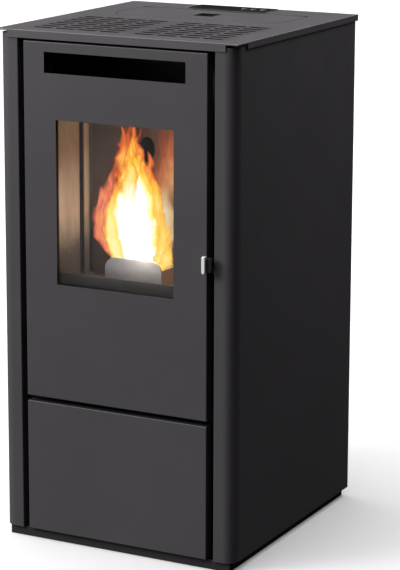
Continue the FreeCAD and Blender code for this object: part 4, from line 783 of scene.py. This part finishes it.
# painted light: the floor is painted paler further from the stove, evening out the light that thins out across the far
# floor
pale = m.ramp(m.math("MULTIPLY", away.outputs["Value"], 0.25), [(0.1, 0.425), (0.22, 0.44), (0.6, 0.62)])
m.colour(m.mix(1.0, pale, m.ramp(m.noise(1.5, 2, 0.5), [(0.3, (1.0, 0.985, 1.0)), (0.7, (1.0, 0.99, 1.0))]), "MULTIPLY"))
m.set(Roughness=0.8)
m.p.inputs["Emission Color"].default_value = (1, 1, 1, 1)
m.set(Emission_Strength=0.12)
me.materials.append(m.m)

floor.visible_glossy = floor.visible_diffuse = False

# Room light: bright from the upper left and the front, dim from the right and from behind; the
# backdrop itself is plain and pale.
world = bpy.data.worlds.new("studio")
scene.world = world
world.use_nodes = True
wt = world.node_tree
room = wt.nodes["Background"]
room.inputs["Strength"].default_value = 1.0
way = wt.nodes.new("ShaderNodeTexCoord")
dot = wt.nodes.new("ShaderNodeVectorMath")
dot.operation = "DOT_PRODUCT"
wt.links.new(way.outputs["Generated"], dot.inputs[0])
dot.inputs[1].default_value = (-0.55, -0.4, 0.6)
soft = wt.nodes.new("ShaderNodeValToRGB")
for e, (at, grey) in zip(soft.color_ramp.elements, ((0.0, 0.02), (0.95, 0.62))):
    e.position = at
    e.color = (grey, grey, grey, 1)
wt.links.new(dot.outputs["Value"], soft.inputs["Fac"])
wt.links.new(soft.outputs["Color"], room.inputs["Color"])
drop = wt.nodes.new("ShaderNodeBackground")
drop.inputs["Color"].default_value = (1, 1, 1, 1)
path = wt.nodes.new("ShaderNodeLightPath")
both = wt.nodes.new("ShaderNodeMixShader")
wt.links.new(path.outputs["Is Camera Ray"], both.inputs[0])
wt.links.new(room.outputs[0], both.inputs[1])
wt.links.new(drop.outputs[0], both.inputs[2])
wt.links.new(both.outputs[0], wt.nodes["World Output"].inputs["Surface"])


def light(name, kind, at, target, power, colour=(1, 1, 1), **values):
    d = bpy.data.lights.new(name, kind)
    d.energy = power
    d.color = colour
    for k, v in values.items():
        setattr(d, k, v)
    o = bpy.data.objects.new(name, d)
    scene.collection.objects.link(o)
    o.location = at
    o.rotation_mode = "QUATERNION"
    o.rotation_quaternion = (Vector(target) - Vector(at)).to_track_quat("-Z", "Y")
    return o


world.cycles_visibility.transmission = False
for o in (
    light("sky", "SUN", (-1.6, -1.3, 4.0), (0, 0, 0), 3.6, angle=math.radians(60)),
    light("overhead", "SUN", (-0.3, 1.5, 4.0), (0, 0, 0), 2.2, angle=math.radians(70)),
    light("front_box", "AREA", (-2.7, -2.5, 2.3), (0, 0, 0.4), 162, shape="RECTANGLE", size=1.8, size_y=1.6),
    light("rear_box", "AREA", (1.1, 1.3, 2.0), (0.1, 0, 0.8), 30, shape="RECTANGLE", size=1.2, size_y=1.2),
):
    o.visible_transmission = False
    o.visible_glossy = o.name != "overhead"
for name, at, power, tint, radius in (
    ("fire_light", (-0.02, -0.165, 0.60), 0.36, (1.0, 0.83, 0.66), 0.03),
    ("fire_light_back", (-0.07, -0.12, 0.55), 0.12, (1.0, 0.8, 0.62), 0.02),
    ("fire_light_low", (0.02, -0.178, 0.52), 0.3, (1.0, 0.86, 0.72), 0.015),
    ("fire_light_side", (0.085, -0.125, 0.64), 1.1, (1.0, 0.33, 0.09), 0.02),
    ("glass_light_left", (-0.09, -0.2185, 0.6), 0.07, (1.0, 0.96, 0.94), 0.01),
    ("glass_light_right", (0.05, -0.2185, 0.6), 0.12, (1.0, 0.96, 0.94), 0.01),
):
    o = light(name, "POINT", at, (at[0], at[1], 0), power, tint, shadow_soft_size=radius)
    o.visible_camera = o.visible_glossy = o.visible_transmission = False

cam_data = bpy.data.cameras.new("camera")
cam = bpy.data.objects.new("camera", cam_data)
scene.collection.objects.link(cam)
scene.camera = cam
focal_px, yaw, pitch, roll, dist, tx, tz = 2291.17, 27.522, 11.943, 0.1686, 3.9614, 0.0364, 0.5229
a, b, c = math.radians(yaw), math.radians(pitch), math.radians(roll)
back = Vector((math.sin(a) * math.cos(b), -math.cos(a) * math.cos(b), math.sin(b)))
right = Vector((math.cos(a), math.sin(a), 0))
up = back.cross(right)
ax = right * math.cos(c) + up * math.sin(c)
ay = up * math.cos(c) - right * math.sin(c)
rot = Matrix((ax, ay, back)).transposed()
cam.matrix_world = Matrix.Translation(Vector((tx, 0, tz)) + back * dist) @ rot.to_4x4()
cam_data.sensor_width = 36.0
cam_data.lens = focal_px * 36.0 / 570.0
cam_data.shift_y = -0.1
cam_data.clip_start, cam_data.clip_end = 0.05, 200

scene.view_settings.view_transform = "Standard"
